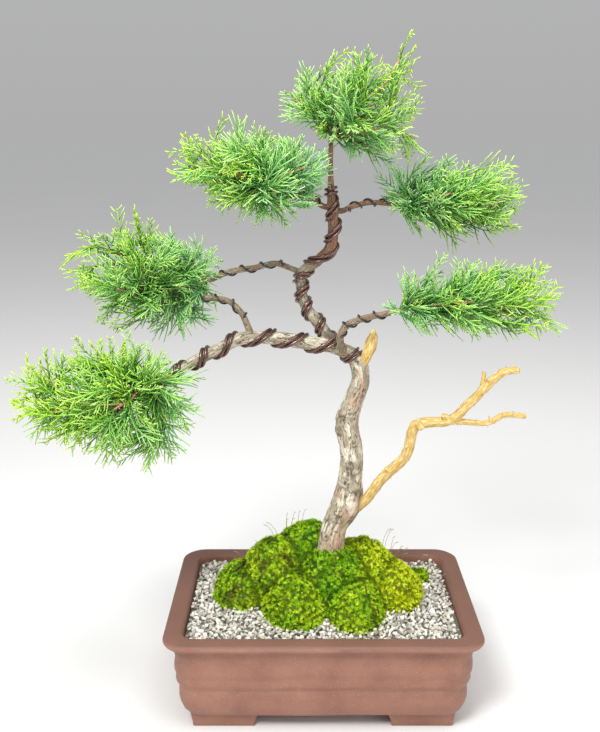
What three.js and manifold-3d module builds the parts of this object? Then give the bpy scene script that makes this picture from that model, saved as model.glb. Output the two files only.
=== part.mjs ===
// An old gold juniper bonsai. A wired juniper with six pads of thread-like foliage and a long bare
// branch stands in a moss-covered mound, with gravel round it, in an unglazed clay pot on four feet.
//
// Millimetres, +Z up, +Y to the back. Every place is measured from the ground under the middle of
// the pot. The finished group is shifted at the end, so that its own box stands on the origin.
import * as THREE from "three";
import { mergeVertices } from "three/addons/utils/BufferGeometryUtils.js";
import Module from "manifold-3d";

const wasm = await Module();
wasm.setup();

// Room between neighbouring pieces that touch in the real thing.
const GAP = 0.35;
const FRONT = new THREE.Vector3(0, -1, 0);
const UP = new THREE.Vector3(0, 0, 1);

// Pot: outer size at the rim, then the parts of its wall.
const RIM_LENGTH = 305;
const RIM_WIDTH = 215;
const RIM_HEIGHT = 100;
const RIM_CORNER = 24;
const INNER_CORNER = 13;
const FOOT_HEIGHT = 14.5;
const FLOOR_TOP = 23.5;
const CORNER_STEPS = 3;
const CORNER_TIGHTENING = 0.4;

// The wall from the underside up and over the rim, as inset from the rim's edge and height.
const OUTER_WALL = [
  [24.5, FOOT_HEIGHT],
  [18.5, 17.5],
  [14.4, 27],
  [13.1, 38],
  [13.4, 46],
  [11, 53],
  [9.6, 65],
  [9.3, 80],
  [9.2, 92.5],
  [1.5, 93],
  [0, 96],
  [2, RIM_HEIGHT],
];

// The wall from the rim's inner edge down to the floor.
const INNER_WALL = [
  [17, RIM_HEIGHT],
  [18.5, 98],
  [20, 60],
  [27, FLOOR_TOP],
];

// Feet: an L of two short walls under each corner, sunk a little way into the underside.
const FOOT = { inset: 26, armX: 60, armY: 44, thickness: 14, flare: 5, sunk: 1.5 };

// Drainage holes in the floor, each under a square of plastic mesh.
const DRAIN = { fromMiddle: 70, radius: 15, sides: 14, cut: 40 };
const SCREEN = { side: 42, thickness: 1.6, holes: 2, bar: 4 };

// What fills the pot keeps clear of its wall: inset from the rim's edge at three heights.
const FILL_CORNER = 12.4;
const FILL_BOTTOM = 27.6;
const FILL_MIDDLE = [20.6, 60];
const FILL_TOP = 19.2;

// Soil to just under the rim, and the mound that carries the moss: share of its size and of its
// rise, from its foot up.
const SOIL_TOP = 88;
const MOUND = { x: 0, y: 16, halfLength: 82, halfWidth: 52, top: 132, sides: 10 };
const MOUND_LEVELS = [
  [1, -0.14],
  [0.97, 0.12],
  [0.8, 0.56],
  [0.5, 0.88],
];

// Gravel: a layer of angular chips, drawn as a faceted surface larger than the real 4 mm grit.
const GRAVEL = { low: 91, high: 96, chip: 14, jitter: 0.6, skirt: 20, seed: 11 };

// Moss cushions: middle, half sizes and colour, nearest the trunk first.
const MOSS = [
  { name: "moss_crown", at: [-16, 34], half: [44, 44], top: 165, detail: 2, seed: 1,
    colour: 0x7fa01e },
  { name: "moss_trunk_foot", at: [12, -4], half: [42, 40], top: 150, detail: 1, seed: 2,
    colour: 0x5f8a1c },
  { name: "moss_shoulder_left", at: [-52, 8], half: [38, 40], top: 149, detail: 2, seed: 3,
    colour: 0x83992a },
  { name: "moss_shoulder_right", at: [46, 24], half: [42, 46], top: 148, detail: 2, seed: 4,
    colour: 0x9a9a22 },
  { name: "moss_front_left", at: [-27, -27], half: [35, 44], top: 132, detail: 2, seed: 5,
    colour: 0x6fa51e },
  { name: "moss_front_right", at: [33, -33], half: [32, 44], top: 129, detail: 2, seed: 6,
    colour: 0x6a9e1c },
  { name: "moss_left", at: [-81, 12], half: [34, 42], top: 130, detail: 1, seed: 7,
    colour: 0x5d8a1a },
  { name: "moss_right", at: [74, 6], half: [31, 41], top: 131, detail: 1, seed: 8,
    colour: 0x94a024 },
  { name: "moss_back_left", at: [-46, 50], half: [44, 33], top: 130, detail: 1, seed: 9,
    colour: 0x5f8a1c },
  { name: "moss_back_right", at: [48, 54], half: [44, 29], top: 128, detail: 1, seed: 10,
    colour: 0x678f1e },
  { name: "moss_tuft_right", at: [104, 44], half: [15, 15], top: 108, detail: 1, seed: 11,
    colour: 0x4f7a18 },
];
const MOSS_BASE = SOIL_TOP + 2;
const MOSS_LUMPS = 0.06;
const MOSS_PRINT = { sides: 14, room: 1.6 };

// Live wood, as stations of x, y, z and radius, from the foot of each limb to its end.
const TRUNK = [
  [8, 4, 52, 11],
  [8, 4, 84, 18],
  [8, 3, 118, 19],
  [9, 2, 148, 13.8],
  [13, 4, 173, 13.2],
  [25, 4, 199, 15.2],
  [28, 2, 226, 12],
  [29, 0, 252, 11.4],
  [24, 2, 285, 11.2],
  [30, 6, 303, 10],
  [37, 9, 325, 9.1],
  [34, 9, 344, 8.6],
  [24, 8, 353, 7.4],
];
const LOW_BRANCH = [
  [34, 9, 344, 8.2],
  [24, 8, 353, 7.4],
  [8, 5, 360, 6.9],
  [-17, 2, 364, 6.8],
  [-48, -4, 370, 6.5],
  [-78, -12, 371, 6.2],
  [-100, -20, 362, 5.7],
  [-126, -29, 350, 5.2],
  [-146, -35, 338, 4],
];
const LEADER = [
  [12, 6, 357, 6.2],
  [3, 8, 372, 5.8],
  [-8, 11, 386, 5.6],
  [-17, 13, 398, 5.3],
  [-21, 14, 414, 5.3],
  [-20, 12, 430, 5.3],
  [-5, 8, 443, 5.2],
  [6, 5, 455, 5.2],
  [9, 1, 478, 5.1],
  [7, 0, 500, 4.1],
  [6, 0, 525, 2.9],
  [6, 0, 553, 3],
];
const SIDE_BRANCHES = {
  upper_left: [
    [7, 0, 493, 2.8],
    [-1, -4, 495, 2.8],
    [-14, -12, 504, 2.7],
    [-31, -19, 506, 2.5],
    [-43, -21, 507, 2.3],
  ],
  upper_right: [
    [8, 1, 491, 2.8],
    [17, 4, 490, 2.8],
    [26, 13, 493, 2.6],
    [46, 26, 496, 2.6],
    [66, 33, 494, 2.4],
  ],
  middle_high: [
    [-20, 13, 430, 3.2],
    [-29, 18, 433, 2.9],
    [-46, 29, 437, 2.9],
    [-65, 37, 432, 3],
    [-94, 44, 426, 3],
    [-111, 46, 418, 2.5],
  ],
  middle_low: [
    [-68, -9, 371, 3.8],
    [-72, 0, 379, 3.3],
    [-80, 14, 392, 3.1],
    [-94, 26, 401, 2.9],
    [-113, 35, 402, 3],
    [-134, 41, 404, 2.7],
  ],
  right: [
    [20, 5, 355, 3.9],
    [17, -5, 363, 3.8],
    [16, -9, 373, 3.6],
    [21, -12, 383, 3.6],
    [35, -18, 391, 3.3],
    [62, -31, 400, 2.8],
  ],
};
const BARK_RELIEF = 0.1;

// Bare wood: the long peeled branch with its fork and twig, and the flame-shaped stub.
const BARE_BRANCH = [
  [28, 3, 186, 4],
  [42, -1, 201, 5],
  [60, -11, 231, 5.4],
  [81, -22, 259, 5.4],
  [87, -30, 286, 5.3],
  [95, -33, 293, 5.2],
  [119, -40, 299, 4.7],
  [137, -48, 320, 4.4],
  [163, -58, 350, 3.7],
  [176, -63, 353, 2.5],
];
const BARE_FORK = [
  [112, -38, 298, 3.3],
  [129, -42, 298, 2.6],
  [154, -45, 298, 2.4],
  [168, -44, 305, 2.4],
  [189, -41, 303, 2],
];
const BARE_TWIG = [
  [143, -51, 326, 2.4],
  [146, -50, 339, 2.1],
  [147, -48, 348, 1.9],
];
const BARE_STUB = [
  [37, 6, 338, 4.2],
  [42, 2, 350, 4.9],
  [46, 1, 362, 6.2],
  [48, 1, 371, 4.4],
  [48, 2, 378, 0.7],
];
const STUB_FLATNESS = 0.55;

// Training wire. The copper-brown pair winds along the low branch and on up the leader. Each entry
// says where a limb's pair has got to, as turns made since a crossing of the front, and as the x or
// z of the limb there. A shape gives a wire's steps in a turn, its sides, and how closely it lies.
const WIRE_RADIUS = 1.4;
const PAIR_SPACING = 5;
const LOW_BRANCH_TURNS = [
  [0, 1],
  [0.25, -13],
  [0.75, -18],
  [1.25, -46],
  [1.75, -48],
  [2.25, -75],
  [2.75, -84],
  [3.25, -102],
  [3.75, -109],
  [4.25, -121],
  [4.75, -134],
  [5.25, -141],
];
const LEADER_TURNS = [
  [0.2, 368],
  [0.75, 379],
  [1.25, 383],
  [1.75, 391],
  [2.25, 396],
  [2.75, 406],
  [3.25, 411],
  [3.75, 421],
  [4.25, 428],
  [4.75, 441],
  [5.25, 448],
  [5.75, 459],
  [6.25, 468],
  [6.75, 476],
  [7.25, 481],
  [7.5, 485],
  [7.75, 504],
  [8.25, 509],
];
const ANCHOR_TURNS = [
  [-0.3, 30],
  [0, 27],
  [0.45, 23],
];
const PAIR_SHAPE = { steps: 6, sides: 4, hug: 1 };

// Thin black wire on each side branch: the share of the branch it covers, and its turns.
const THIN_WIRE_RADIUS = 1;
const THIN_WIRES = {
  upper_left: { from: 0.26, to: 0.9, turns: 2.5 },
  upper_right: { from: 0.22, to: 0.92, turns: 3 },
  middle_high: { from: 0.2, to: 0.92, turns: 3.5 },
  middle_low: { from: 0.24, to: 0.94, turns: 3.5 },
  right: { from: 0.3, to: 0.94, turns: 3.5 },
};
const THIN_SHAPE = { steps: 6, sides: 3, hug: 0.95 };

// Foliage pads. The outline is the pad's edge seen from the front, as x and z round its middle;
// depth is how far it reaches to the front and to the back. Each twig starts from the end of a
// branch or from another twig.
const PADS = {
  apex: {
    middle: [25, 0, 585],
    depth: 62,
    outline: [
      [-45, 595], [-36, 609], [-6, 620], [25, 637], [49, 645], [79, 650], [82, 622],
      [97, 580], [91, 543], [68, 526], [44, 528], [8, 552], [-14, 556], [-38, 573],
    ],
    twigs: [
      [[6, 0, 553], [20, 4, 571], [35, 2, 588], [55, -2, 605], [70, 0, 630]],
      [[10, 1, 559], [-3, -6, 576], [-28, -10, 590]],
      [[10, 1, 559], [35, -12, 561], [57, -10, 567], [82, -6, 556]],
      [[20, 4, 571], [24, 24, 588], [34, 38, 604]],
    ],
    shoots: 8,
    seed: 1101,
  },
  upper_left: {
    middle: [-66, -26, 527],
    depth: 58,
    outline: [
      [-142, 540], [-126, 556], [-102, 565], [-75, 576], [-38, 566], [1, 546],
      [18, 519], [-6, 500], [-17, 487], [-34, 478], [-65, 482], [-95, 492], [-119, 509],
      [-139, 525],
    ],
    twigs: [
      [[-43, -21, 507], [-65, -26, 511], [-89, -28, 517], [-118, -30, 531]],
      [[-48, -22, 508], [-40, -34, 522], [-18, -40, 532]],
      [[-65, -26, 511], [-72, -2, 526], [-84, 12, 536]],
      [[-65, -26, 511], [-70, -48, 522], [-82, -62, 530]],
    ],
    shoots: 8,
    seed: 202,
  },
  upper_right: {
    middle: [126, 33, 498],
    depth: 54,
    outline: [
      [46, 522], [66, 527], [90, 534], [113, 540], [140, 535], [173, 544], [189, 513],
      [205, 488], [188, 470], [153, 459], [125, 457], [92, 468], [70, 480], [55, 498],
    ],
    twigs: [
      [[66, 33, 494], [88, 33, 490], [112, 33, 486], [134, 34, 488], [170, 34, 494]],
      [[88, 33, 490], [100, 14, 500], [118, 4, 506]],
      [[112, 33, 486], [128, 52, 496], [148, 62, 502]],
      [[75, 33, 493], [78, 40, 506], [84, 46, 518]],
    ],
    shoots: 8,
    seed: 303,
  },
  middle_left: {
    middle: [-172, 44, 421],
    depth: 58,
    outline: [
      [-270, 434], [-240, 449], [-226, 480], [-177, 492], [-162, 474],
      [-130, 458], [-106, 450], [-95, 417], [-103, 378], [-127, 366], [-168, 366],
      [-198, 360], [-222, 374], [-243, 406],
    ],
    twigs: [
      [[-111, 46, 418], [-130, 48, 416], [-152, 46, 418], [-180, 46, 430], [-204, 48, 446]],
      [[-134, 41, 404], [-152, 42, 405], [-178, 40, 402], [-206, 42, 404]],
      [[-152, 46, 418], [-153, 44, 411], [-152, 42, 405]],
      [[-152, 46, 418], [-168, 70, 428], [-184, 84, 432]],
      [[-178, 40, 402], [-184, 18, 410], [-198, 6, 416]],
    ],
    shoots: 8,
    seed: 404,
  },
  lower_left: {
    middle: [-202, -40, 316],
    depth: 64,
    outline: [
      [-292, 342], [-264, 365], [-233, 373], [-197, 381], [-172, 380], [-145, 361],
      [-110, 337], [-116, 306], [-124, 275], [-145, 259], [-171, 248], [-204, 264],
      [-246, 277], [-281, 286], [-293, 318],
    ],
    twigs: [
      [[-146, -35, 338], [-172, -38, 328], [-202, -40, 320], [-236, -42, 318], [-262, -42, 322]],
      [[-172, -38, 328], [-176, -62, 326], [-188, -82, 322]],
      [[-172, -38, 328], [-182, -12, 330], [-196, 6, 332]],
      [[-202, -40, 320], [-224, -64, 318], [-246, -78, 318]],
      [[-202, -40, 320], [-222, -16, 322], [-244, -2, 324]],
      [[-160, -36, 333], [-152, -42, 316], [-148, -46, 298]],
    ],
    shoots: 8,
    seed: 505,
  },
  right: {
    middle: [138, -36, 412],
    depth: 52,
    outline: [
      [49, 393], [57, 413], [79, 441], [111, 452], [134, 449], [161, 453], [191, 459],
      [203, 436], [225, 408], [225, 387], [203, 376], [156, 378], [119, 382], [76, 387],
    ],
    twigs: [
      [[62, -31, 400], [79, -34, 405], [104, -36, 411], [137, -37, 406], [168, -36, 406],
        [196, -34, 408]],
      [[104, -36, 411], [116, -54, 414], [130, -66, 416]],
      [[104, -36, 411], [118, -16, 416], [132, -6, 418]],
      [[150, -37, 406], [162, -56, 410], [174, -64, 412]],
    ],
    shoots: 8,
    seed: 7606,
  },
};
const TWIG_RADIUS = 2.1;
const TWIG_TIP_RADIUS = 1.6;
const ROOT_RADIUS = 0.75;
const SHOOT_RADIUS = 1.05;
// A shoot is best at this length, and at an angle to its twig whose cosine is this.
const SHOOT_LENGTH = 50;
const SHOOT_SLANT = 0.75;
const SHOOT_BOW = 0.12;
const BUD_SPACING = 4;
// Side branchlets leave a shoot in threes, one from each face of a short stretch of it. Each whorl
// has its place along the shoot, and its branchlets' length as a share of the shoot's.
const WHORLS = [
  { at: 0.3, share: 0.48 },
  { at: 0.64, share: 0.32 },
];
const WHORL_STRETCH = 1.8;
const ATTEMPTS = 15;
const BRANCHLET_LEAN = 0.66;
const BRANCHLET_UNEVEN = 0.05;

// Colours, roughness and metalness of each material.
const MATERIALS = {
  clay: new THREE.MeshStandardMaterial({ color: 0xa9755f, roughness: 0.75 }),
  screen: new THREE.MeshStandardMaterial({ color: 0x1d1f1e, roughness: 0.5 }),
  soil: new THREE.MeshStandardMaterial({ color: 0x3b2c22, roughness: 0.95 }),
  gravel: new THREE.MeshStandardMaterial({ color: 0xc6c3ba, roughness: 0.9 }),
  bark: new THREE.MeshStandardMaterial({ color: 0xa08a74, roughness: 0.85 }),
  bareWood: new THREE.MeshStandardMaterial({ color: 0xe0b468, roughness: 0.65 }),
  copperWire: new THREE.MeshStandardMaterial({ color: 0x6e4136, roughness: 0.3, metalness: 1 }),
  blackWire: new THREE.MeshStandardMaterial({ color: 0x1b1a1a, roughness: 0.4, metalness: 1 }),
  foliage: new THREE.MeshStandardMaterial({ color: 0x74b33a, roughness: 0.6 }),
};

// Geometry and solids

// A stream of numbers from 0 to 1 that is the same on every run.
function seeded(seed) {
  let state = Math.imul(seed, 2654435761) >>> 0;
  return () => {
    state = (Math.imul(state, 1664525) + 1013904223) >>> 0;
    return state / 4294967296;
  };
}

function solidOf(geometry) {
  const bare = geometry.index ? geometry.toNonIndexed() : geometry.clone();
  bare.deleteAttribute("normal");
  bare.deleteAttribute("uv");
  const merged = mergeVertices(bare, 1e-4);
  return new wasm.Manifold(
    new wasm.Mesh({
      numProp: 3,
      vertProperties: new Float32Array(merged.attributes.position.array),
      triVerts: new Uint32Array(merged.index.array),
    }),
  );
}

function solidFrom(points, faces) {
  const geometry = new THREE.BufferGeometry();
  geometry.setAttribute(
    "position",
    new THREE.Float32BufferAttribute(points.flatMap((p) => p.toArray()), 3),
  );
  geometry.setIndex(faces);
  return solidOf(geometry);
}

// The largest body of a solid, which drops scraps that a cut leaves loose.
function mainBody(solid) {
  return solid.decompose().reduce((a, b) => (b.volume() > a.volume() ? b : a));
}

function meshOf(name, solid, material) {
  const cut = solid.getMesh();
  const geometry = new THREE.BufferGeometry();
  geometry.setAttribute("position", new THREE.BufferAttribute(cut.vertProperties, 3));
  geometry.setIndex(new THREE.BufferAttribute(cut.triVerts, 1));
  geometry.computeVertexNormals();
  const mesh = new THREE.Mesh(geometry, material);
  mesh.name = name;
  return mesh;
}

// A closed skin over rings of points that turn anticlockwise about the way they are travelled. The
// last ring may be a single point.
function skin(rings) {
  const pointed = rings.at(-1).length === 1;
  const full = pointed ? rings.slice(0, -1) : rings;
  const count = full[0].length;
  const faces = [];
  for (let ring = 0; ring + 1 < full.length; ring++) {
    for (let i = 0; i < count; i++) {
      const a = ring * count + i;
      const b = ring * count + ((i + 1) % count);
      faces.push(a, b, b + count, a, b + count, a + count);
    }
  }
  const last = (full.length - 1) * count;
  for (let i = 1; i + 1 < count; i++) {
    faces.push(0, i + 1, i);
    if (!pointed) faces.push(last, last + i, last + i + 1);
  }
  if (pointed) {
    for (let i = 0; i < count; i++) faces.push(last + i, last + ((i + 1) % count), last + count);
  }
  return solidFrom(rings.flat(), faces);
}

// Rings of points across a curve at the spots given, each turned no further than its own turn asks.
function ringsAcross(curve, spots, sides) {
  let guide = Math.abs(curve.getTangent(0).dot(FRONT)) > 0.85 ? UP : FRONT;
  return spots.map(({ at, radius, turn = 0 }) => {
    const centre = curve.getPoint(at);
    const along = curve.getTangent(at);
    guide = guide.clone().addScaledVector(along, -guide.dot(along)).normalize();
    const side = along.clone().cross(guide);
    return Array.from({ length: sides }, (_, i) => {
      const angle = turn + (2 * Math.PI * i) / sides;
      return centre
        .clone()
        .addScaledVector(guide, radius * Math.cos(angle))
        .addScaledVector(side, radius * Math.sin(angle));
    });
  });
}

const vector = ([x, y, z]) => new THREE.Vector3(x, y, z);

// Frames along a limb: centre, direction, the side facing the front, and the distance travelled.
function framesOf(stations, step) {
  const points = stations.map(vector);
  const curve = new THREE.CatmullRomCurve3(points);
  const spans = points.length - 1;
  const frames = [];
  for (let span = 0; span < spans; span++) {
    const length = points[span].distanceTo(points[span + 1]);
    const parts = Math.max(1, Math.round(length / step));
    for (let part = span ? 1 : 0; part <= parts; part++) {
      const share = part / parts;
      const centre = curve.getPoint((span + share) / spans);
      const along = curve.getTangent((span + share) / spans);
      const front = FRONT.clone().addScaledVector(along, -FRONT.dot(along)).normalize();
      const radius = THREE.MathUtils.lerp(stations[span][3], stations[span + 1][3], share);
      const before = frames.at(-1);
      const travelled = before ? before.travelled + centre.distanceTo(before.centre) : 0;
      frames.push({ centre, along, front, side: along.clone().cross(front), radius, travelled });
    }
  }
  return frames;
}

// A limb with an uneven surface; extra swells it, for the hole that it stands in.
function limb(stations, { sides, step, relief = 0, seed = 1, extra = 0, flatness = 1 }) {
  const random = seeded(seed);
  const rings = framesOf(stations, step).map(({ centre, front, side, radius }) =>
    Array.from({ length: sides }, (_, i) => {
      const angle = (2 * Math.PI * i) / sides;
      const reach = radius * (1 + relief * (random() - 0.5)) + extra;
      return centre
        .clone()
        .addScaledVector(front, reach * flatness * Math.cos(angle))
        .addScaledVector(side, reach * Math.sin(angle));
    }),
  );
  return skin(rings);
}

// Pot

function rimRing(inset, z, corner) {
  const x = RIM_LENGTH / 2 - inset - corner;
  const y = RIM_WIDTH / 2 - inset - corner;
  const middles = [[x, y], [-x, y], [-x, -y], [x, -y]];
  return middles.flatMap(([cx, cy], quarter) =>
    Array.from({ length: CORNER_STEPS + 1 }, (_, i) => {
      const angle = ((quarter + i / CORNER_STEPS) * Math.PI) / 2;
      return new THREE.Vector3(
        cx + corner * Math.cos(angle),
        cy + corner * Math.sin(angle),
        z,
      );
    }),
  );
}

// One wall of a foot, of the lengths given from the foot's outer corner; each may flare at the top.
function footWall(signX, signY, lengthX, lengthY, flareX, flareY) {
  const x = RIM_LENGTH / 2 - FOOT.inset;
  const y = RIM_WIDTH / 2 - FOOT.inset;
  const level = (z, farX, farY) => {
    const corners = [[x - farX, y - farY], [x, y - farY], [x, y], [x - farX, y]];
    const ring = corners.map(([cx, cy]) => new THREE.Vector3(signX * cx, signY * cy, z));
    return signX === signY ? ring : ring.reverse();
  };
  return skin([
    level(0, lengthX, lengthY),
    level(FOOT_HEIGHT + FOOT.sunk, lengthX + flareX, lengthY + flareY),
  ]);
}

function foot(signX, signY) {
  const along = footWall(signX, signY, FOOT.armX, FOOT.thickness, FOOT.flare, 0);
  const across = footWall(signX, signY, FOOT.thickness, FOOT.armY, 0, FOOT.flare);
  return along.add(across);
}

function drainHole(side) {
  const geometry = new THREE.CylinderGeometry(DRAIN.radius, DRAIN.radius, DRAIN.cut, DRAIN.sides);
  geometry.rotateX(Math.PI / 2);
  geometry.translate(side * DRAIN.fromMiddle, 0, FLOOR_TOP);
  return solidOf(geometry);
}

function potSolid() {
  const outer = OUTER_WALL.map(([inset, z]) =>
    rimRing(inset, z, RIM_CORNER - CORNER_TIGHTENING * inset),
  );
  const inner = INNER_WALL.map(([inset, z]) => rimRing(inset, z, INNER_CORNER));
  let pot = skin([...outer, ...inner]);
  for (const signX of [-1, 1]) {
    for (const signY of [-1, 1]) pot = pot.add(foot(signX, signY));
    pot = pot.subtract(drainHole(signX));
  }
  return pot;
}

function block(x0, y0, z0, x1, y1, z1) {
  const geometry = new THREE.BoxGeometry(x1 - x0, y1 - y0, z1 - z0);
  geometry.translate((x0 + x1) / 2, (y0 + y1) / 2, (z0 + z1) / 2);
  return solidOf(geometry);
}

function screenSolid(side) {
  const low = FLOOR_TOP + GAP;
  const high = low + SCREEN.thickness;
  const half = SCREEN.side / 2;
  const middle = side * DRAIN.fromMiddle;
  const pitch = (SCREEN.side - SCREEN.bar) / SCREEN.holes;
  const size = pitch - SCREEN.bar;
  let screen = block(middle - half, -half, low, middle + half, half, high);
  for (let row = 0; row < SCREEN.holes; row++) {
    for (let column = 0; column < SCREEN.holes; column++) {
      const x = middle - half + SCREEN.bar + column * pitch;
      const y = -half + SCREEN.bar + row * pitch;
      screen = screen.subtract(block(x, y, low - 1, x + size, y + size, high + 1));
    }
  }
  return screen;
}

// Soil, gravel and moss

function moundRing(share, z, extra) {
  return Array.from({ length: MOUND.sides }, (_, i) => {
    const angle = (2 * Math.PI * i) / MOUND.sides;
    return new THREE.Vector3(
      MOUND.x + (MOUND.halfLength * share + extra) * Math.cos(angle),
      MOUND.y + (MOUND.halfWidth * share + extra) * Math.sin(angle),
      z + extra,
    );
  });
}

// The soil in the pot; extra swells its top, to cut what lies on it.
function soilSolid(extra) {
  const base = FLOOR_TOP + 2 * GAP + SCREEN.thickness;
  const bed = [
    rimRing(FILL_BOTTOM, base, FILL_CORNER),
    rimRing(...FILL_MIDDLE, FILL_CORNER),
    rimRing(FILL_TOP, SOIL_TOP + extra, FILL_CORNER),
  ];
  const rise = MOUND.top - SOIL_TOP;
  const mound = MOUND_LEVELS.map(([share, z]) => moundRing(share, SOIL_TOP + z * rise, extra));
  const peak = [new THREE.Vector3(MOUND.x, MOUND.y, MOUND.top + extra)];
  return skin(bed).add(skin([...mound, peak]));
}

// A cushion's surface point in a direction from its middle, with the lumps of its own seed.
function mossPoint({ at, half, top, seed }, p, extra) {
  const wave =
    Math.sin(5 * p.x + seed) * Math.sin(5 * p.y + 2 * seed) +
    Math.sin(7 * p.z + 3 * seed) * Math.sin(6 * (p.x + p.y) + seed);
  const swell = 1 + MOSS_LUMPS * wave * Math.min(1, 3 * Math.abs(p.z));
  return new THREE.Vector3(
    at[0] + p.x * (half[0] * swell + extra),
    at[1] + p.y * (half[1] * swell + extra),
    MOSS_BASE + p.z * ((top - MOSS_BASE) * swell + extra),
  );
}

function mossCushion(cushion, extra) {
  const geometry = new THREE.IcosahedronGeometry(1, cushion.detail);
  const position = geometry.attributes.position;
  for (let i = 0; i < position.count; i++) {
    const p = mossPoint(cushion, new THREE.Vector3().fromBufferAttribute(position, i), extra);
    position.setXYZ(i, p.x, p.y, p.z);
  }
  return solidOf(geometry);
}

// The upright hole that a cushion leaves in the gravel.
function mossPrint(cushion) {
  const level = (z) =>
    Array.from({ length: MOSS_PRINT.sides }, (_, i) => {
      const angle = (2 * Math.PI * i) / MOSS_PRINT.sides;
      const p = new THREE.Vector3(Math.cos(angle), Math.sin(angle), 0);
      return mossPoint(cushion, p, MOSS_PRINT.room).setZ(z);
    });
  return skin([level(SOIL_TOP - 1), level(RIM_HEIGHT)]);
}

function gravelSolid() {
  const random = seeded(GRAVEL.seed);
  const columns = Math.ceil((RIM_LENGTH - 2 * FILL_TOP) / GRAVEL.chip) + 1;
  const rows = Math.ceil((RIM_WIDTH - 2 * FILL_TOP) / GRAVEL.chip) + 1;
  const jitter = () => (random() - 0.5) * GRAVEL.jitter * GRAVEL.chip;
  const points = [];
  for (let row = 0; row <= rows; row++) {
    for (let column = 0; column <= columns; column++) {
      const x = (column - columns / 2 + (row % 2) * 0.5) * GRAVEL.chip;
      const y = (row - rows / 2) * GRAVEL.chip;
      const z = THREE.MathUtils.lerp(GRAVEL.low, GRAVEL.high, random());
      points.push(new THREE.Vector3(x + jitter(), y + jitter(), z));
    }
  }
  const width = columns + 1;
  const faces = [];
  for (let row = 0; row < rows; row++) {
    for (let column = 0; column < columns; column++) {
      const a = row * width + column;
      const [b, c, d] = [a + 1, a + width + 1, a + width];
      if (row % 2) faces.push(a, c, d, a, b, c);
      else faces.push(a, b, d, b, c, d);
    }
  }
  const border = [];
  for (let column = 0; column < columns; column++) border.push(column);
  for (let row = 0; row < rows; row++) border.push(row * width + columns);
  for (let column = columns; column > 0; column--) border.push(rows * width + column);
  for (let row = rows; row > 0; row--) border.push(row * width);
  const low = points.length;
  const foot = SOIL_TOP - GRAVEL.skirt;
  for (const i of border) points.push(new THREE.Vector3(points[i].x, points[i].y, foot));
  border.forEach((top, i) => {
    const next = (i + 1) % border.length;
    faces.push(low + i, low + next, border[next], low + i, border[next], top);
  });
  points.push(new THREE.Vector3(0, 0, foot));
  border.forEach((_, i) => {
    faces.push(points.length - 1, low + ((i + 1) % border.length), low + i);
  });
  const room = skin([
    rimRing(FILL_TOP, SOIL_TOP + GAP, FILL_CORNER),
    rimRing(FILL_TOP, RIM_HEIGHT, FILL_CORNER),
  ]);
  return solidFrom(points, faces).intersect(room);
}

// Wood

const TREE_LIMBS = [
  { stations: TRUNK, sides: 8, step: 15, seed: 31 },
  { stations: LOW_BRANCH, sides: 7, step: 15, seed: 32 },
  { stations: LEADER, sides: 6, step: 12, seed: 33 },
  ...Object.values(SIDE_BRANCHES).map((stations, i) => ({
    stations,
    sides: 5,
    step: 16,
    seed: 40 + i,
  })),
];

function treeSolid(extra) {
  return TREE_LIMBS.map(({ stations, ...how }) =>
    limb(stations, { ...how, relief: BARK_RELIEF, extra }),
  ).reduce((a, b) => a.add(b));
}

function bareBranchSolid(tree) {
  const how = { sides: 5, step: 14, relief: 0.3 };
  const branch = limb(BARE_BRANCH, { ...how, seed: 61 })
    .add(limb(BARE_FORK, { ...how, sides: 4, seed: 62 }))
    .add(limb(BARE_TWIG, { ...how, sides: 4, seed: 63 }));
  return mainBody(branch.subtract(tree));
}

function bareStubSolid(tree) {
  const how = { sides: 6, step: 12, relief: 0.2, seed: 64, flatness: STUB_FLATNESS };
  return mainBody(limb(BARE_STUB, how).subtract(tree));
}

// Wire

function frameAt(frames, travelled) {
  const i = Math.max(1, frames.findIndex((f) => f.travelled >= travelled));
  const [a, b] = [frames[i - 1], frames[i]];
  const share = (travelled - a.travelled) / (b.travelled - a.travelled);
  const mix = (key) => a[key].clone().lerp(b[key], share);
  return {
    centre: mix("centre"),
    front: mix("front").normalize(),
    side: mix("side").normalize(),
    radius: THREE.MathUtils.lerp(a.radius, b.radius, share),
  };
}

// How far along a limb its centre first reaches a value of x or z.
function travelledAt(frames, axis, value) {
  const i = frames.findIndex(
    (f, n) => n > 0 && (f.centre[axis] - value) * (frames[n - 1].centre[axis] - value) <= 0,
  );
  if (i < 0) throw new Error(`no place with ${axis} = ${value} on this limb`);
  const [a, b] = [frames[i - 1], frames[i]];
  const share = (value - a.centre[axis]) / (b.centre[axis] - a.centre[axis]);
  return THREE.MathUtils.lerp(a.travelled, b.travelled, share);
}

// Points of a wire wound on a limb. places holds turns and distances travelled; hand is 1 where
// the wire turns right-handed along the limb and -1 where it turns left-handed.
function windingPoints(frames, places, { hand, lag, wireRadius, steps, hug }) {
  const first = places[0][0];
  const turns = places.at(-1)[0] - first;
  const count = Math.round(turns * steps);
  const lift = wireRadius + GAP;
  return Array.from({ length: count + 1 }, (_, i) => {
    const turn = first + (turns * i) / count;
    const n = Math.max(1, places.findIndex(([t]) => t >= turn - 1e-9));
    const [t0, s0] = places[n - 1];
    const [t1, s1] = places[n];
    const travelled = s0 + ((turn - t0) / (t1 - t0)) * (s1 - s0) + lag;
    const { centre, front, side, radius } = frameAt(frames, travelled);
    const clear = radius * (1 + BARK_RELIEF / 2) + lift;
    const reach = (hug * clear) / Math.cos(Math.PI / steps);
    const angle = 2 * Math.PI * turn * hand;
    return centre
      .addScaledVector(front, reach * Math.cos(angle))
      .addScaledVector(side, reach * Math.sin(angle));
  });
}

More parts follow.
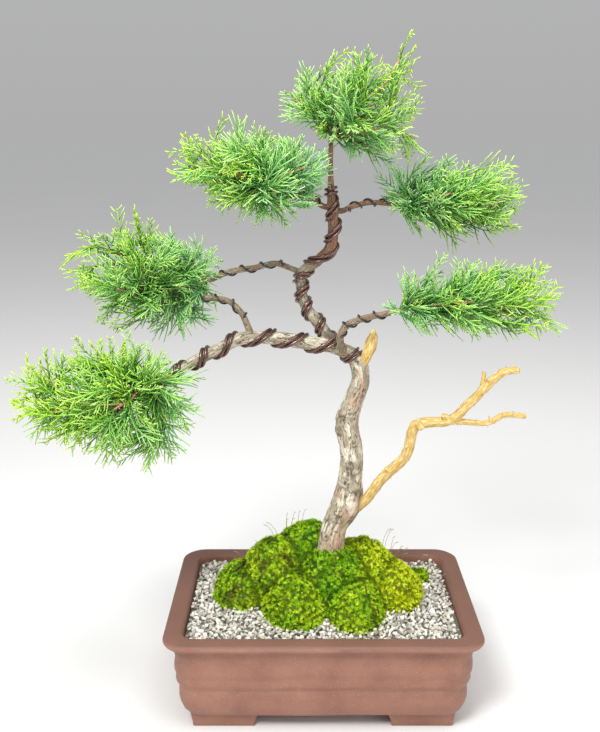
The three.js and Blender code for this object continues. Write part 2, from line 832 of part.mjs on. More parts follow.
function wireSolid(points, radius, sides) {
  const corners = Array.from({ length: sides }, (_, i) => {
    const angle = (2 * Math.PI * (i + 0.5)) / sides;
    return new THREE.Vector2(radius * Math.cos(angle), radius * Math.sin(angle));
  });
  return solidOf(
    new THREE.ExtrudeGeometry(new THREE.Shape(corners), {
      steps: points.length - 1,
      bevelEnabled: false,
      extrudePath: new THREE.CatmullRomCurve3(points),
    }),
  );
}

function pairOn(frames, axis, turns, hand, lag) {
  const places = turns.map(([turn, value]) => [turn, travelledAt(frames, axis, value)]);
  return windingPoints(frames, places, { ...PAIR_SHAPE, hand, lag, wireRadius: WIRE_RADIUS });
}

// The long pair starts at the end of the low branch, winds back towards the trunk, crosses over
// and goes on up the leader.
function longWire(side) {
  const low = framesOf(LOW_BRANCH, 4);
  const leader = framesOf(LEADER, 4);
  const lag = (side * PAIR_SPACING) / 2;
  const back = pairOn(low, "x", LOW_BRANCH_TURNS, -1, lag).reverse();
  const rise = pairOn(leader, "z", LEADER_TURNS, 1, lag);
  return wireSolid([...back, ...rise], WIRE_RADIUS, PAIR_SHAPE.sides);
}

function anchorWire(side) {
  const frames = framesOf(LOW_BRANCH, 4);
  const points = pairOn(frames, "x", ANCHOR_TURNS, -1, (side * PAIR_SPACING) / 2);
  return wireSolid(points, WIRE_RADIUS, PAIR_SHAPE.sides);
}

function thinWire(name) {
  const frames = framesOf(SIDE_BRANCHES[name], 4);
  const { from, to, turns } = THIN_WIRES[name];
  const length = frames.at(-1).travelled;
  const places = [[0, from * length], [turns, to * length]];
  const how = { ...THIN_SHAPE, hand: 1, lag: 0, wireRadius: THIN_WIRE_RADIUS };
  return wireSolid(windingPoints(frames, places, how), THIN_WIRE_RADIUS, THIN_SHAPE.sides);
}

// Foliage

// How far a pad's outline is from its middle, in the direction of an angle in the front view.
function outlineReach({ middle, outline }, angle) {
  const [dx, dz] = [Math.cos(angle), Math.sin(angle)];
  let reach = 0;
  outline.forEach(([x0, z0], i) => {
    const [x1, z1] = outline[(i + 1) % outline.length];
    const [ax, az] = [x0 - middle[0], z0 - middle[2]];
    const [ex, ez] = [x1 - x0, z1 - z0];
    const cross = dx * ez - dz * ex;
    const distance = (ax * ez - az * ex) / cross;
    const share = (ax * dz - az * dx) / cross;
    if (distance > 0 && share >= 0 && share <= 1) reach = Math.max(reach, distance);
  });
  return reach;
}

// A point of the pad's outer form, from a direction given by depth (-1 front to 1 back) and angle.
function padPoint(pad, depth, angle, share) {
  const level = Math.sqrt(1 - depth * depth) * outlineReach(pad, angle) * share;
  return new THREE.Vector3(
    pad.middle[0] + level * Math.cos(angle),
    pad.middle[1] + depth * pad.depth * share,
    pad.middle[2] + level * Math.sin(angle),
  );
}

function twigSolid(stations, radius) {
  const points = stations.map(vector);
  const curve = new THREE.CatmullRomCurve3(points);
  const parts = points.length - 1;
  const spots = points.slice(0, -1).map((_, i) => ({
    at: i / parts,
    radius: THREE.MathUtils.lerp(radius, TWIG_TIP_RADIUS, i / parts),
  }));
  return skin([...ringsAcross(curve, spots, 4), [points.at(-1)]]);
}

// Points along all twigs of a pad, where shoots can start, each with the twig's direction.
function budsOf(pad) {
  return pad.twigs.flatMap((stations) => {
    const curve = new THREE.CatmullRomCurve3(stations.map(vector));
    const count = Math.round(curve.getLength() / BUD_SPACING);
    return Array.from({ length: count }, (_, i) => {
      const t = (i + 0.7) / (count + 0.4);
      return { at: curve.getPoint(t), along: curve.getTangent(t) };
    });
  });
}

// One shoot: a bowed three-sided stem with its whorls of side branchlets, each drawn out of a face
// to a point. extra swells it, to keep its distance from other pieces.
function shootSolid(bud, tip, turn, extra) {
  const reach = tip.clone().sub(bud.at);
  const length = reach.length();
  const bend = bud.along.clone().addScaledVector(reach, -bud.along.dot(reach) / length ** 2);
  const elbow = bud.at
    .clone()
    .addScaledVector(reach, 0.5)
    .addScaledVector(bend, 2 * SHOOT_BOW * length);
  const path = new THREE.QuadraticBezierCurve3(bud.at, elbow, tip);
  const spots = [{ at: 0, radius: ROOT_RADIUS + extra, turn }];
  WHORLS.forEach(({ at }, n) => {
    const whorl = { radius: SHOOT_RADIUS + extra, turn: turn + (n * Math.PI) / 3 };
    spots.push({ ...whorl, at }, { ...whorl, at: at + WHORL_STRETCH / length });
  });
  const rings = ringsAcross(path, spots, 3);
  const points = [...rings[0]];
  const faces = [0, 2, 1];
  WHORLS.forEach(({ at, share }, n) => {
    const past = at + WHORL_STRETCH / length;
    const below = points.length - 3 - (n ? 3 : 0);
    const first = points.length;
    points.push(...rings[2 * n + 1], ...rings[2 * n + 2]);
    const along = path.getTangent(at);
    const heart = path.getPoint((at + past) / 2);
    for (let side = 0; side < 3; side++) {
      const next = (side + 1) % 3;
      const [a, b, c, d] = [first + side, first + next, first + 3 + next, first + 3 + side];
      const outward = points[a].clone().add(points[b]).multiplyScalar(0.5).sub(heart);
      outward.addScaledVector(along, -outward.dot(along)).normalize();
      const way = along.clone().addScaledVector(outward, Math.tan(BRANCHLET_LEAN)).normalize();
      const apex = points.length;
      const stretch = (share - BRANCHLET_UNEVEN * side) * length + extra;
      points.push(heart.clone().addScaledVector(way, stretch));
      faces.push(a, b, apex, b, c, apex, c, d, apex, d, a, apex);
      faces.push(below + side, below + next, a, below + next, b, a);
    }
  });
  const last = points.length - 6;
  const end = points.length;
  points.push(tip.clone().addScaledVector(path.getTangent(1), extra));
  for (let side = 0; side < 3; side++) faces.push(last + side, last + ((side + 1) % 3), end);
  return solidFrom(points, faces);
}

const GOLDEN_ANGLE = Math.PI * (3 - Math.sqrt(5));

// Where a pad's shoots end: at each corner of its outline, and evenly over its front and back.
function tipsOf(pad, random) {
  const corners = pad.outline.map(
    ([x, z]) => new THREE.Vector3(x, pad.middle[1] + 0.3 * pad.depth * (random() - 0.5), z),
  );
  const rest = Array.from({ length: pad.shoots }, (_, i) => {
    const depth = (i % 2 ? 1 : -1) * THREE.MathUtils.lerp(0.4, 0.95, (i + 0.5) / pad.shoots);
    return padPoint(pad, depth, i * GOLDEN_ANGLE, 0.9 + 0.1 * random());
  });
  return [...corners, ...rest];
}

// A pad's twigs with its shoots fused on. A shoot that would cross another piece, or another
// shoot, tries other turns and buds.
function padSolid(pad, taken) {
  const random = seeded(pad.seed);
  let buds = budsOf(pad);
  const twigs = pad.twigs
    .map((stations, i) => twigSolid(stations, i ? TWIG_TIP_RADIUS + 0.3 : TWIG_RADIUS))
    .reduce((a, b) => a.add(b))
    .subtract(taken);
  let crown = null;
  for (const tip of tipsOf(pad, random)) {
    const strain = (bud) => {
      const reach = tip.clone().sub(bud.at);
      const ahead = reach.dot(bud.along) / reach.length();
      return Math.abs(reach.length() - SHOOT_LENGTH) + SHOOT_LENGTH * Math.abs(ahead - SHOOT_SLANT);
    };
    const near = buds.toSorted((a, b) => strain(a) - strain(b));
    for (let attempt = 0; attempt < ATTEMPTS; attempt++) {
      const bud = near[Math.floor(attempt / 3)];
      const turn = 2 * Math.PI * random();
      const swollen = shootSolid(bud, tip, turn, GAP);
      if (!swollen.intersect(taken).isEmpty()) continue;
      const last = attempt + 1 === ATTEMPTS;
      if (crown && !last && !swollen.intersect(crown).isEmpty()) continue;
      const shoot = shootSolid(bud, tip, turn, 0);
      crown = crown ? crown.add(shoot) : shoot;
      buds = buds.filter((other) => other !== bud);
      break;
    }
  }
  return mainBody(twigs.add(crown));
}

// The whole plant in its pot

const bonsai = new THREE.Group();
const place = (name, solid, material) => bonsai.add(meshOf(name, solid, material));

place("pot", potSolid(), MATERIALS.clay);
place("drain_screen_left", screenSolid(-1), MATERIALS.screen);
place("drain_screen_right", screenSolid(1), MATERIALS.screen);

const tree = treeSolid(0);
const treeHole = treeSolid(GAP + 0.1);
place("tree_wood", tree, MATERIALS.bark);
place("soil", soilSolid(0).subtract(treeHole), MATERIALS.soil);

let bed = soilSolid(GAP).add(treeHole);
for (const cushion of MOSS) {
  const material = new THREE.MeshStandardMaterial({ color: cushion.colour, roughness: 0.95 });
  place(cushion.name, mainBody(mossCushion(cushion, 0).subtract(bed)), material);
  bed = bed.add(mossCushion(cushion, GAP));
}
const mossPrints = MOSS.map(mossPrint).reduce((a, b) => a.add(b));
place("gravel", mainBody(gravelSolid().subtract(mossPrints)), MATERIALS.gravel);

const bareBranch = bareBranchSolid(treeHole);
const bareStub = bareStubSolid(treeHole);
place("bare_branch", bareBranch, MATERIALS.bareWood);
place("bare_stub", bareStub, MATERIALS.bareWood);

let taken = treeHole.add(bareBranch).add(bareStub);
for (const [name, side] of [["wire_long_a", -1], ["wire_long_b", 1]]) {
  const wire = longWire(side);
  place(name, wire, MATERIALS.copperWire);
  taken = taken.add(wire);
}
for (const [name, side] of [["wire_anchor_a", -1], ["wire_anchor_b", 1]]) {
  const wire = anchorWire(side);
  place(name, wire, MATERIALS.copperWire);
  taken = taken.add(wire);
}
for (const name of Object.keys(THIN_WIRES)) {
  const wire = thinWire(name);
  place(`wire_thin_${name}`, wire, MATERIALS.blackWire);
  taken = taken.add(wire);
}

for (const [name, pad] of Object.entries(PADS)) {
  const foliage = padSolid(pad, taken);
  place(`foliage_${name}`, foliage, MATERIALS.foliage);
  taken = taken.add(foliage);
}

const middle = new THREE.Box3().setFromObject(bonsai).getCenter(new THREE.Vector3());
bonsai.position.set(-middle.x, -middle.y, 0);

export default bonsai;
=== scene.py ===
import math

import bmesh
import bpy
import numpy as np
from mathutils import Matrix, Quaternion, Vector, noise


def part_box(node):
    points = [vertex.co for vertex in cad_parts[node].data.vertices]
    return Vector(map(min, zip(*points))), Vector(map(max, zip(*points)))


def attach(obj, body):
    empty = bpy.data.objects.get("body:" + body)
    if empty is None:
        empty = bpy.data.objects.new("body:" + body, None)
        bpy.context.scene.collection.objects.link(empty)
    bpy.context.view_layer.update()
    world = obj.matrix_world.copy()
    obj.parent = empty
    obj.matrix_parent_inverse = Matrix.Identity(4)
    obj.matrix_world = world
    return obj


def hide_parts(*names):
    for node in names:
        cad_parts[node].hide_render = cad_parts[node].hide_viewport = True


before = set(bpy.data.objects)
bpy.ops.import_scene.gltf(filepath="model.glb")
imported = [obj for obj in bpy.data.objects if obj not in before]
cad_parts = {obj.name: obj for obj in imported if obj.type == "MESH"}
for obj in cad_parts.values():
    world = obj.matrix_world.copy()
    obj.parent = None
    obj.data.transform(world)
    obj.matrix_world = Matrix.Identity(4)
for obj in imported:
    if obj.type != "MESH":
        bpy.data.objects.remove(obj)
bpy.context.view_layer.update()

MM = 0.001
pot_low, pot_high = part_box("pot")
POT_MIDDLE = np.array([(pot_low.x + pot_high.x) / 2, (pot_low.y + pot_high.y) / 2, 0.0])
FRONT = np.array([0.0, -1.0, 0.0])
UP = np.array([0.0, 0.0, 1.0])
FULL_TURN = 2 * math.pi

# Camera: where it stands, how far it looks down, and its focal length as a share of the picture's
# height.
CAMERA_PLACE = [-22.3, -902.7, 568.7]
CAMERA_DOWN = math.radians(14.143)
FOCAL_SHARE = 960 / 732
SENSOR = 36

# Studio: each light's place in metres, its size and its power, the sky's colours, and half the
# floor's width.
LIGHTS = {
    "key": [(-0.7, -1.4, 2.0), 0.8, 47],
    "fill": [(1.4, -1.4, 1.0), 1.2, 9],
    "top": [(0.2, -0.3, 2.0), 1.3, 21],
}
LIGHT_AIM = (0, 0, 0.3)
SKY_HORIZON = (0.43, 0.43, 0.43)
SKY_OVERHEAD = (0.60, 0.61, 0.62)
FLOOR_REACH = 30

# Where each random sequence starts. The pads of foliage count on from theirs.
SEEDS = {"mound": 21, "tuft": 22, "stalks": 23, "gravel": 31, "splinters": 41, "foliage": 100}

# Pot: outer size at the rim, and its wall as inset from the rim's edge and height.
RIM_LENGTH = (pot_high.x - pot_low.x) / MM
RIM_WIDTH = (pot_high.y - pot_low.y) / MM
RIM_HEIGHT = pot_high.z / MM
RIM_CORNER = 24
INNER_CORNER = 13
CORNER_TIGHTENING = 0.4
CORNER_STEPS = 10
WALL_SPACING = 5
FLOOR_TOP = 23.5
FOOT_HEIGHT = 14.5
OUTER_WALL = [
    [24.5, FOOT_HEIGHT], [22.5, 14.8], [20, 16], [16.5, 21], [14.2, 28], [13.2, 34], [13, 41],
    [13.3, 45], [13.6, 46.5], [12.4, 48.5], [11.2, 51], [10.6, 54], [11, 57], [10.9, 60],
    [9.7, 63], [9.2, 68], [9.6, 73], [10.3, 76], [9.7, 79], [9.2, 84], [9.5, 90], [8, 92.2],
    [5, 92.6], [2.6, 93], [0.9, 93.9], [0.1, 95.6],
    [0, 97], [0.6, 98.7], [1.9, 99.7], [4, 100], [9, 100],
]
INNER_WALL = [
    [14.5, 100], [16.6, 99.7], [17.7, 98.9], [18.2, 97.6], [18.5, 94], [19.2, 80], [20, 60],
    [27, FLOOR_TOP],
]
WAVE_DEPTH = 0.75
WAVE_TOP = RIM_HEIGHT - 4
CREASE_WANDER = 1.5
CREASE_HEIGHT = 58
CREASE_BAND = 18
FOOT = {"inset": 26, "armX": 60, "armY": 44, "thickness": 14}
FOOT_LEVELS = [[0, 0, 0], [5, 0.4, 0.3], [10, 1.9, 1.1], [FOOT_HEIGHT + 1.5, 5, 2]]
FOOT_EDGE = 1.3
DRAIN = {"fromMiddle": 70, "radius": 15}
SCREEN_BARS = 13

# What fills the pot keeps clear of its wall.
FILL_TOP = 19.2
FILL_CORNER = 12.4
GRIT_SIZE = 5.8
GRIT_LOW = 91.0
GRIT_RISE = 2.2
HEAP_REACH = 14
SHEET_SETTLED = 2.2

# Layers of grit, as spacing in sizes, height above the lowest, and how light its stones are; the
# lowest layer's stones are painted darker, as painted shade in the gaps under the layers above.
GRIT_LAYERS = [[0.8, 0, 0.35], [0.84, 2.1, 1], [1.15, 3.7, 1]]

# Moss cushions: middle, half sizes, top, and how yellow and how brown each is.
MOSS_BASE = 90
MOSS = {
    "moss_crown": [-12, 34, 50, 44, 167, 0.15, 0.1],
    "moss_trunk_foot": [12, -2, 42, 40, 157, 0.1, 0.1],
    "moss_shoulder_left": [-49, 14, 39, 40, 159, 0.4, 0.46],
    "moss_shoulder_right": [42, 22, 42, 46, 152, 0.75, 0.2],
    "moss_front_left": [-27, -27, 35, 44, 132, 0.3, 0.1],
    "moss_front_right": [33, -33, 32, 44, 129, 0.3, 0.1],
    "moss_left": [-81, 12, 34, 42, 130, 0.25, 0.42],
    "moss_right": [74, 6, 31, 41, 131, 1.0, 0.0],
    "moss_back_left": [-46, 50, 44, 33, 130, 0.3, 0.2],
    "moss_back_right": [48, 54, 44, 29, 128, 0.3, 0.2],
}
MOSS_TUFT = [104, 44, 15, 15, 108, 0.25, 0.1]
MOSS_BLEND = 3.4
MOSS_SETTLED = 2.0
MOSS_HEART = np.array([0.0, 10.0, 88.0])
MOSS_LEAVES = 6
MOSS_LEAF = {"width": 0.56, "thickness": 0.4, "length": [1.9, 3.0]}
TUFT_AREA = 4.8
CLEFT_WIDTH = 6
LUMP_SIZE = 18
LUMP_HEIGHT = 5
KNOB_SIZE = 6
KNOB_HEIGHT = 0.9
LUMPS_SETTLED = 2.2

# Stalks that stand up out of the moss, as foot x, y and lean, height.
MOSS_STALKS = [
    [-86, 40, -6, 16], [-66, 44, -2, 15], [-60, 48, 3, 18], [-48, 42, -8, 22], [-38, 46, 1, 18],
    [-30, 50, 4, 16], [-22, 40, 2, 18], [64, 30, 9, 24], [72, 34, 6, 22], [80, 24, 4, 16],
    [84, 30, 8, 26], [92, 34, 2, 14], [104, 46, 5, 17], [116, 46, 6, 16], [126, 40, 4, 13],
]
STALK_RADII = [0.22] * 7 + [0.28, 0.5]
STALK_NOD = 1.2
STALK_SEARCH_TOP = 175

# Live wood, as stations of x, y, z and radius, from the foot of each limb to its end.
TRUNK = [
    [8, 4, 52, 11], [8, 4, 84, 18], [8, 3, 118, 19], [9, 2, 148, 13.8], [13, 4, 173, 13.2],
    [25, 4, 199, 15.2], [28, 2, 226, 12], [29, 0, 252, 11.4], [24, 2, 285, 11.2],
    [30, 6, 303, 10], [37, 9, 325, 9.1], [34, 9, 344, 8.6], [24, 8, 353, 7.4],
]
LOW_BRANCH = [
    [34, 9, 344, 8.2], [24, 8, 353, 7.4], [8, 5, 360, 6.9], [-17, 2, 364, 6.8],
    [-48, -4, 370, 6.5], [-78, -12, 371, 6.2], [-100, -20, 362, 5.7], [-126, -29, 350, 5.2],
    [-146, -35, 338, 4],
]
LEADER = [
    [12, 6, 357, 6.2], [3, 8, 372, 5.8], [-8, 11, 386, 5.6], [-17, 13, 398, 5.3],
    [-21, 14, 414, 5.3], [-20, 12, 430, 5.3], [-5, 8, 443, 5.2], [6, 5, 455, 5.2],
    [9, 1, 478, 5.1], [7, 0, 500, 4.1], [6, 0, 525, 2.5], [6, 0, 553, 2.4],
]
SIDE_BRANCHES = {
    "upper_left": [
        [7, 0, 493, 2.8], [-1, -4, 495, 2.8], [-14, -12, 504, 2.7], [-31, -19, 506, 2.5],
        [-43, -21, 507, 2.3],
    ],
    "upper_right": [
        [8, 1, 491, 2.8], [17, 4, 490, 2.8], [26, 13, 493, 2.6], [46, 26, 496, 2.6],
        [66, 33, 494, 2.4],
    ],
    "middle_high": [
        [-20, 13, 430, 3.2], [-29, 18, 433, 2.9], [-46, 29, 437, 2.9], [-65, 37, 432, 3],
        [-94, 44, 426, 3], [-111, 46, 418, 2.5],
    ],
    "middle_low": [
        [-68, -9, 371, 3.8], [-72, 0, 379, 3.3], [-80, 14, 392, 3.1], [-94, 26, 401, 2.9],
        [-113, 35, 402, 3], [-134, 41, 404, 2.7],
    ],
    "right": [
        [20, 5, 355, 3.9], [17, -5, 363, 3.8], [16, -9, 373, 3.6], [21, -12, 383, 3.6],
        [35, -18, 391, 3.3], [62, -31, 400, 2.8],
    ],
}

# Knots on the front of the trunk, as x, z and size. Then the heights where young bark starts and
# is all there is, those between which the red foot fades, the least radius that counts as trunk,
# and how far back the trunk's front goes.
KNOTS = [
    [30, 239, 6], [22, 224, 4.8], [17, 291, 4], [16, 277, 3.4], [34, 211, 4.6], [31, 265, 3],
    [17, 186, 3.6], [3, 166, 3.4],
]
YOUNG_BARK = [428, 446]
TRUNK_FOOT = [135, 175]
TRUNK_RADIUS = 8
FRONT_SIDE = 2

# Where young pink bark shows on the trunk's front, as x, z and half sizes.
BLUSHES = [
    [32, 305, 6, 7], [36, 278, 3, 14], [22, 190, 5, 7], [29, 182, 5, 5], [14, 214, 4, 9],
    [31, 335, 5, 4], [20, 352, 6, 3], [38, 318, 3, 12],
]
COLLAR = {"z": 293, "size": 2.6}

# Bare wood.
BARE_BRANCH = [
    [28, 3, 186, 4], [42, -1, 201, 5], [60, -11, 231, 5.2], [80, -22, 257, 5.2],
    [85, -29, 284, 5.2], [88, -31, 291, 5.3], [96, -33, 294, 5.1], [119, -40, 299, 4.7],
    [137, -48, 320, 4.4], [163, -58, 350, 3.7], [176, -63, 353, 2.5],
]
BARE_FORK = [
    [112, -38, 298, 3.4], [129, -42, 298, 2.8], [154, -45, 298, 2.7], [168, -44, 305, 2.8],
    [189, -41, 303, 2.5],
]
BARE_TWIG = [[143, -51, 326, 2.4], [146, -50, 339, 2.1], [147, -48, 348, 1.9]]
BARE_STUB = [
    [37, 6, 338, 4.2], [42, 2, 350, 4.9], [46, 1, 362, 6.2], [48, 1, 371, 4.4],
    [48, 2, 378, 0.7],
]
STUB_FLATNESS = 0.55
LIMB_SIDES = 28
VOXELS = {"tree": 1.0, "branch": 0.7, "stub": 0.6}
SPLINTER_RADII = [0.4, 0.26, 0.1]

# Knobs and short spurs on the bare branch, as two ends with radii.
BARE_KNOBS = [
    [[114, -41, 302, 3.6], [111, -44, 305, 2.2]], [[93, -36, 290, 4], [88, -38, 297, 2]],
    [[152, -54, 338, 3], [149, -57, 344, 1.4]], [[66, -15, 238, 4], [61, -19, 243, 1.8]],
    [[170, -61, 352, 2.6], [171, -62, 358, 1]], [[156, -45, 299, 2], [154, -47, 305, 0.9]],
]

# Training wire, as turns made since a crossing of the limb's front, and the limb's x or z there.
WIRE_RADIUS = 1.55
PAIR_SPACING = 4.3
LOW_BRANCH_TURNS = [
    [0, 1], [0.25, -13], [0.75, -18], [1.25, -46], [1.75, -48], [2.25, -75], [2.75, -84],
    [3.25, -102], [3.75, -109], [4.25, -121], [4.75, -134], [5.25, -141],
]
LEADER_TURNS = [
    [0.2, 365], [0.75, 375], [1.25, 383], [1.75, 391], [2.25, 402], [2.75, 406], [3.25, 419],
    [3.75, 423], [4.25, 435], [4.75, 437], [5.25, 457], [5.75, 461], [6.25, 479], [6.75, 483],
    [7.25, 499], [7.6, 507], [8.25, 510],
]
ANCHOR_TURNS = [[-0.3, 30], [0, 27], [0.45, 23]]

# Thin wires, as the shares of their branches where they start and end, and turns.
THIN_WIRE_RADIUS = 1
THIN_WIRES = {
    "upper_left": [0.26, 0.9, 2.5],
    "upper_right": [0.22, 0.92, 3],
    "middle_high": [0.2, 0.92, 3.5],
    "middle_low": [0.24, 0.94, 3.5],
    "right": [0.3, 0.94, 3.5],
}

STEPS_PER_TURN = 24
WIRE_SIDES = 12
BRIDGE_REACH = 14

# Foliage pads: middle, depth to the front and back, the way it grows, the number of sprays, how
# warm its green is, outline as x and z, and twigs.
PADS = {
    "apex": {
        "middle": [25, 0, 585], "depth": 62, "growth": [0.7, 0.7], "sprays": 148,
        "warmth": 0.48,
        "outline": [
            [-45, 595], [-36, 609], [-6, 620], [25, 637], [49, 645], [79, 650], [82, 622],
            [97, 580], [91, 543], [68, 526], [44, 528], [8, 552], [-14, 556], [-38, 573],
        ],
        "twigs": [
            [[6, 0, 553], [20, 4, 571], [35, 2, 588], [55, -2, 605], [70, 0, 630]],
            [[10, 1, 559], [-3, -6, 576], [-28, -10, 590]],
            [[10, 1, 559], [35, -12, 561], [57, -10, 567], [82, -6, 556]],
            [[20, 4, 571], [24, 24, 588], [34, 38, 604]],
        ],
    },
    "upper_left": {
        "middle": [-66, -26, 527], "depth": 58, "growth": [-1, 0.2], "sprays": 180,
        "warmth": 0.4,
        "outline": [
            [-142, 540], [-126, 556], [-102, 565], [-75, 576], [-38, 566], [1, 546], [18, 519],
            [-6, 500], [-17, 487], [-34, 478], [-65, 482], [-95, 492], [-119, 509], [-139, 525],
        ],
        "twigs": [
            [[-43, -21, 507], [-65, -26, 511], [-89, -28, 517], [-118, -30, 531]],
            [[-48, -22, 508], [-40, -34, 522], [-18, -40, 532]],
            [[-65, -26, 511], [-72, -2, 526], [-84, 12, 536]],
            [[-65, -26, 511], [-70, -48, 522], [-82, -62, 530]],
        ],
    },
    "upper_right": {
        "middle": [126, 33, 498], "depth": 54, "growth": [1, 0], "sprays": 160,
        "warmth": 0.42,
        "outline": [
            [46, 522], [66, 527], [90, 534], [113, 540], [140, 535], [173, 544], [189, 513],
            [205, 488], [188, 470], [153, 459], [125, 457], [92, 468], [70, 480], [55, 498],
        ],
        "twigs": [
            [[66, 33, 494], [88, 33, 490], [112, 33, 486], [134, 34, 488], [170, 34, 494]],
            [[88, 33, 490], [100, 14, 500], [118, 4, 506]],
            [[112, 33, 486], [128, 52, 496], [148, 62, 502]],
            [[75, 33, 493], [78, 40, 506], [84, 46, 518]],
        ],
    },
    "middle_left": {
        "middle": [-172, 44, 421], "depth": 58, "growth": [-0.9, 0.4], "sprays": 210,
        "warmth": 0.45,
        "outline": [
            [-270, 434], [-240, 449], [-226, 480], [-177, 492], [-162, 474], [-130, 458],
            [-106, 450], [-95, 417], [-103, 378], [-127, 366], [-168, 366], [-198, 360],
            [-222, 374], [-243, 406],
        ],
        "twigs": [
            [[-111, 46, 418], [-130, 48, 416], [-152, 46, 418], [-180, 46, 430],
             [-204, 48, 446]],
            [[-134, 41, 404], [-152, 42, 405], [-178, 40, 402], [-206, 42, 404]],
            [[-152, 46, 418], [-153, 44, 411], [-152, 42, 405]],
            [[-152, 46, 418], [-168, 70, 428], [-184, 84, 432]],
            [[-178, 40, 402], [-184, 18, 410], [-198, 6, 416]],
        ],
    },
    "lower_left": {
        "middle": [-202, -40, 316], "depth": 64, "growth": [-1, 0.1], "sprays": 330,
        "warmth": 0.66,
        "outline": [
            [-292, 342], [-264, 365], [-233, 373], [-197, 381], [-172, 380], [-145, 361],
            [-110, 337], [-116, 306], [-124, 275], [-145, 259], [-171, 248], [-204, 264],
            [-246, 277], [-281, 286], [-293, 318],
        ],
        "twigs": [
            [[-146, -35, 338], [-172, -38, 328], [-202, -40, 320], [-236, -42, 318],
             [-262, -42, 322]],
            [[-172, -38, 328], [-176, -62, 326], [-188, -82, 322]],
            [[-172, -38, 328], [-182, -12, 330], [-196, 6, 332]],
            [[-202, -40, 320], [-224, -64, 318], [-246, -78, 318]],
            [[-202, -40, 320], [-222, -16, 322], [-244, -2, 324]],
            [[-160, -36, 333], [-152, -42, 316], [-148, -46, 298]],
        ],
    },
    "right": {
        "middle": [138, -36, 412], "depth": 52, "growth": [1, 0.1], "sprays": 160,
        "warmth": 0.45,
        "outline": [
            [49, 393], [57, 413], [79, 441], [111, 452], [134, 449], [161, 453], [191, 459],
            [203, 436], [225, 408], [225, 387], [203, 376], [156, 378], [119, 382], [76, 387],
        ],
        "twigs": [
            [[62, -31, 400], [79, -34, 405], [104, -36, 411], [137, -37, 406],
             [168, -36, 406], [196, -34, 408]],
            [[104, -36, 411], [116, -54, 414], [130, -66, 416]],
            [[104, -36, 411], [118, -16, 416], [132, -6, 418]],
            [[150, -37, 406], [162, -56, 410], [174, -64, 412]],
        ],
    },
}
TWIG_RADII = [2.1, 1.0]
BOUGHS = 24
BOUGH_LENGTH = 45
BOUGH_RADII = [1.15, 0.6]
SPRAY_LENGTH = 38
SPRAY_STATIONS = [0, 0.25, 0.5, 0.75, 0.97, 1]
SPRAY_RADII = [0.8, 0.8, 0.76, 0.72, 0.68, 0.4]
SHOOTS = 9
SHOOT_LENGTHS = [3.5, 28]
SHOOT_RADII = [0.68, 0.66, 0.44]
SHOOT_ANGLE = math.radians(44)
NARROW_ANGLE = math.radians(28)
KNUCKLED_SHARE = 0.07
KNUCKLE_LENGTHS = [1.6, 3.2]
KNUCKLE_RADII = [0.62, 0.5]

# The base of a low-discrepancy sequence in three dimensions.
PLASTIC = 1.2207440846057596


# Arrays

def unit(vectors):
    return vectors / np.maximum(np.linalg.norm(vectors, axis=-1, keepdims=True), 1e-12)


def swing(angle, ahead, aside):
    """The way that lies at an angle from ahead, on the side of aside."""
    return np.cos(angle) * ahead + np.sin(angle) * aside


def spline(stations, step):
    """Rows along a centripetal curve through the stations, about a step apart."""
    nodes = np.asarray(stations, float)
    line = [2 * nodes[0] - nodes[1], *nodes, 2 * nodes[-1] - nodes[-2]]
    rows = []
    for p0, p1, p2, p3 in zip(line, line[1:], line[2:], line[3:]):
        gaps = [np.linalg.norm((b - a)[:3]) ** 0.5 for a, b in ((p0, p1), (p1, p2), (p2, p3))]
        t1, t2, t3 = np.cumsum(gaps)
        parts = max(1, round(np.linalg.norm((p2 - p1)[:3]) / step))
        t = np.linspace(t1, t2, parts, endpoint=False)[:, None]
        a1 = p0 + (p1 - p0) * t / t1
        a2 = p1 + (p2 - p1) * (t - t1) / (t2 - t1)
        a3 = p2 + (p3 - p2) * (t - t2) / (t3 - t2)
        b1 = a1 + (a2 - a1) * t / t2
        b2 = a2 + (a3 - a2) * (t - t1) / (t3 - t1)
        rows.append(b1 + (b2 - b1) * (t - t1) / (t2 - t1))
    return np.concatenate([*rows, nodes[-1:]])


def evened(line, times):
    """Draws the inner points of a line towards their neighbours, in place."""
    for _ in range(times):
        line[1:-1] = (line[:-2] + 2 * line[1:-1] + line[2:]) / 4


def limb_line(stations, step=2):
    """Centre, radius, direction, the sides facing the front and across, and distance travelled."""
    line = spline(stations, step)
    centre = line[:, :3]
    along = unit(np.gradient(centre, axis=0))
    front = unit(FRONT - along * (along @ FRONT)[:, None])
    gaps = np.linalg.norm(np.diff(centre, axis=0), axis=1)
    return {
        "centre": centre,
        "radius": line[:, 3],
        "along": along,
        "front": front,
        "side": np.cross(along, front),
        "travelled": np.concatenate([[0], np.cumsum(gaps)]),
    }


def tube_faces(rings, sides):
    """The faces of a closed tube made of rings of points: its sides, and one face at each end."""
    rank, corner = np.divmod(np.arange((rings - 1) * sides), sides)
    a, b = rank * sides + corner, rank * sides + (corner + 1) % sides
    first, last = np.arange(sides)[None, ::-1], (rings - 1) * sides + np.arange(sides)[None]
    return [np.stack([a, b, b + sides, a + sides], 1), first, last]


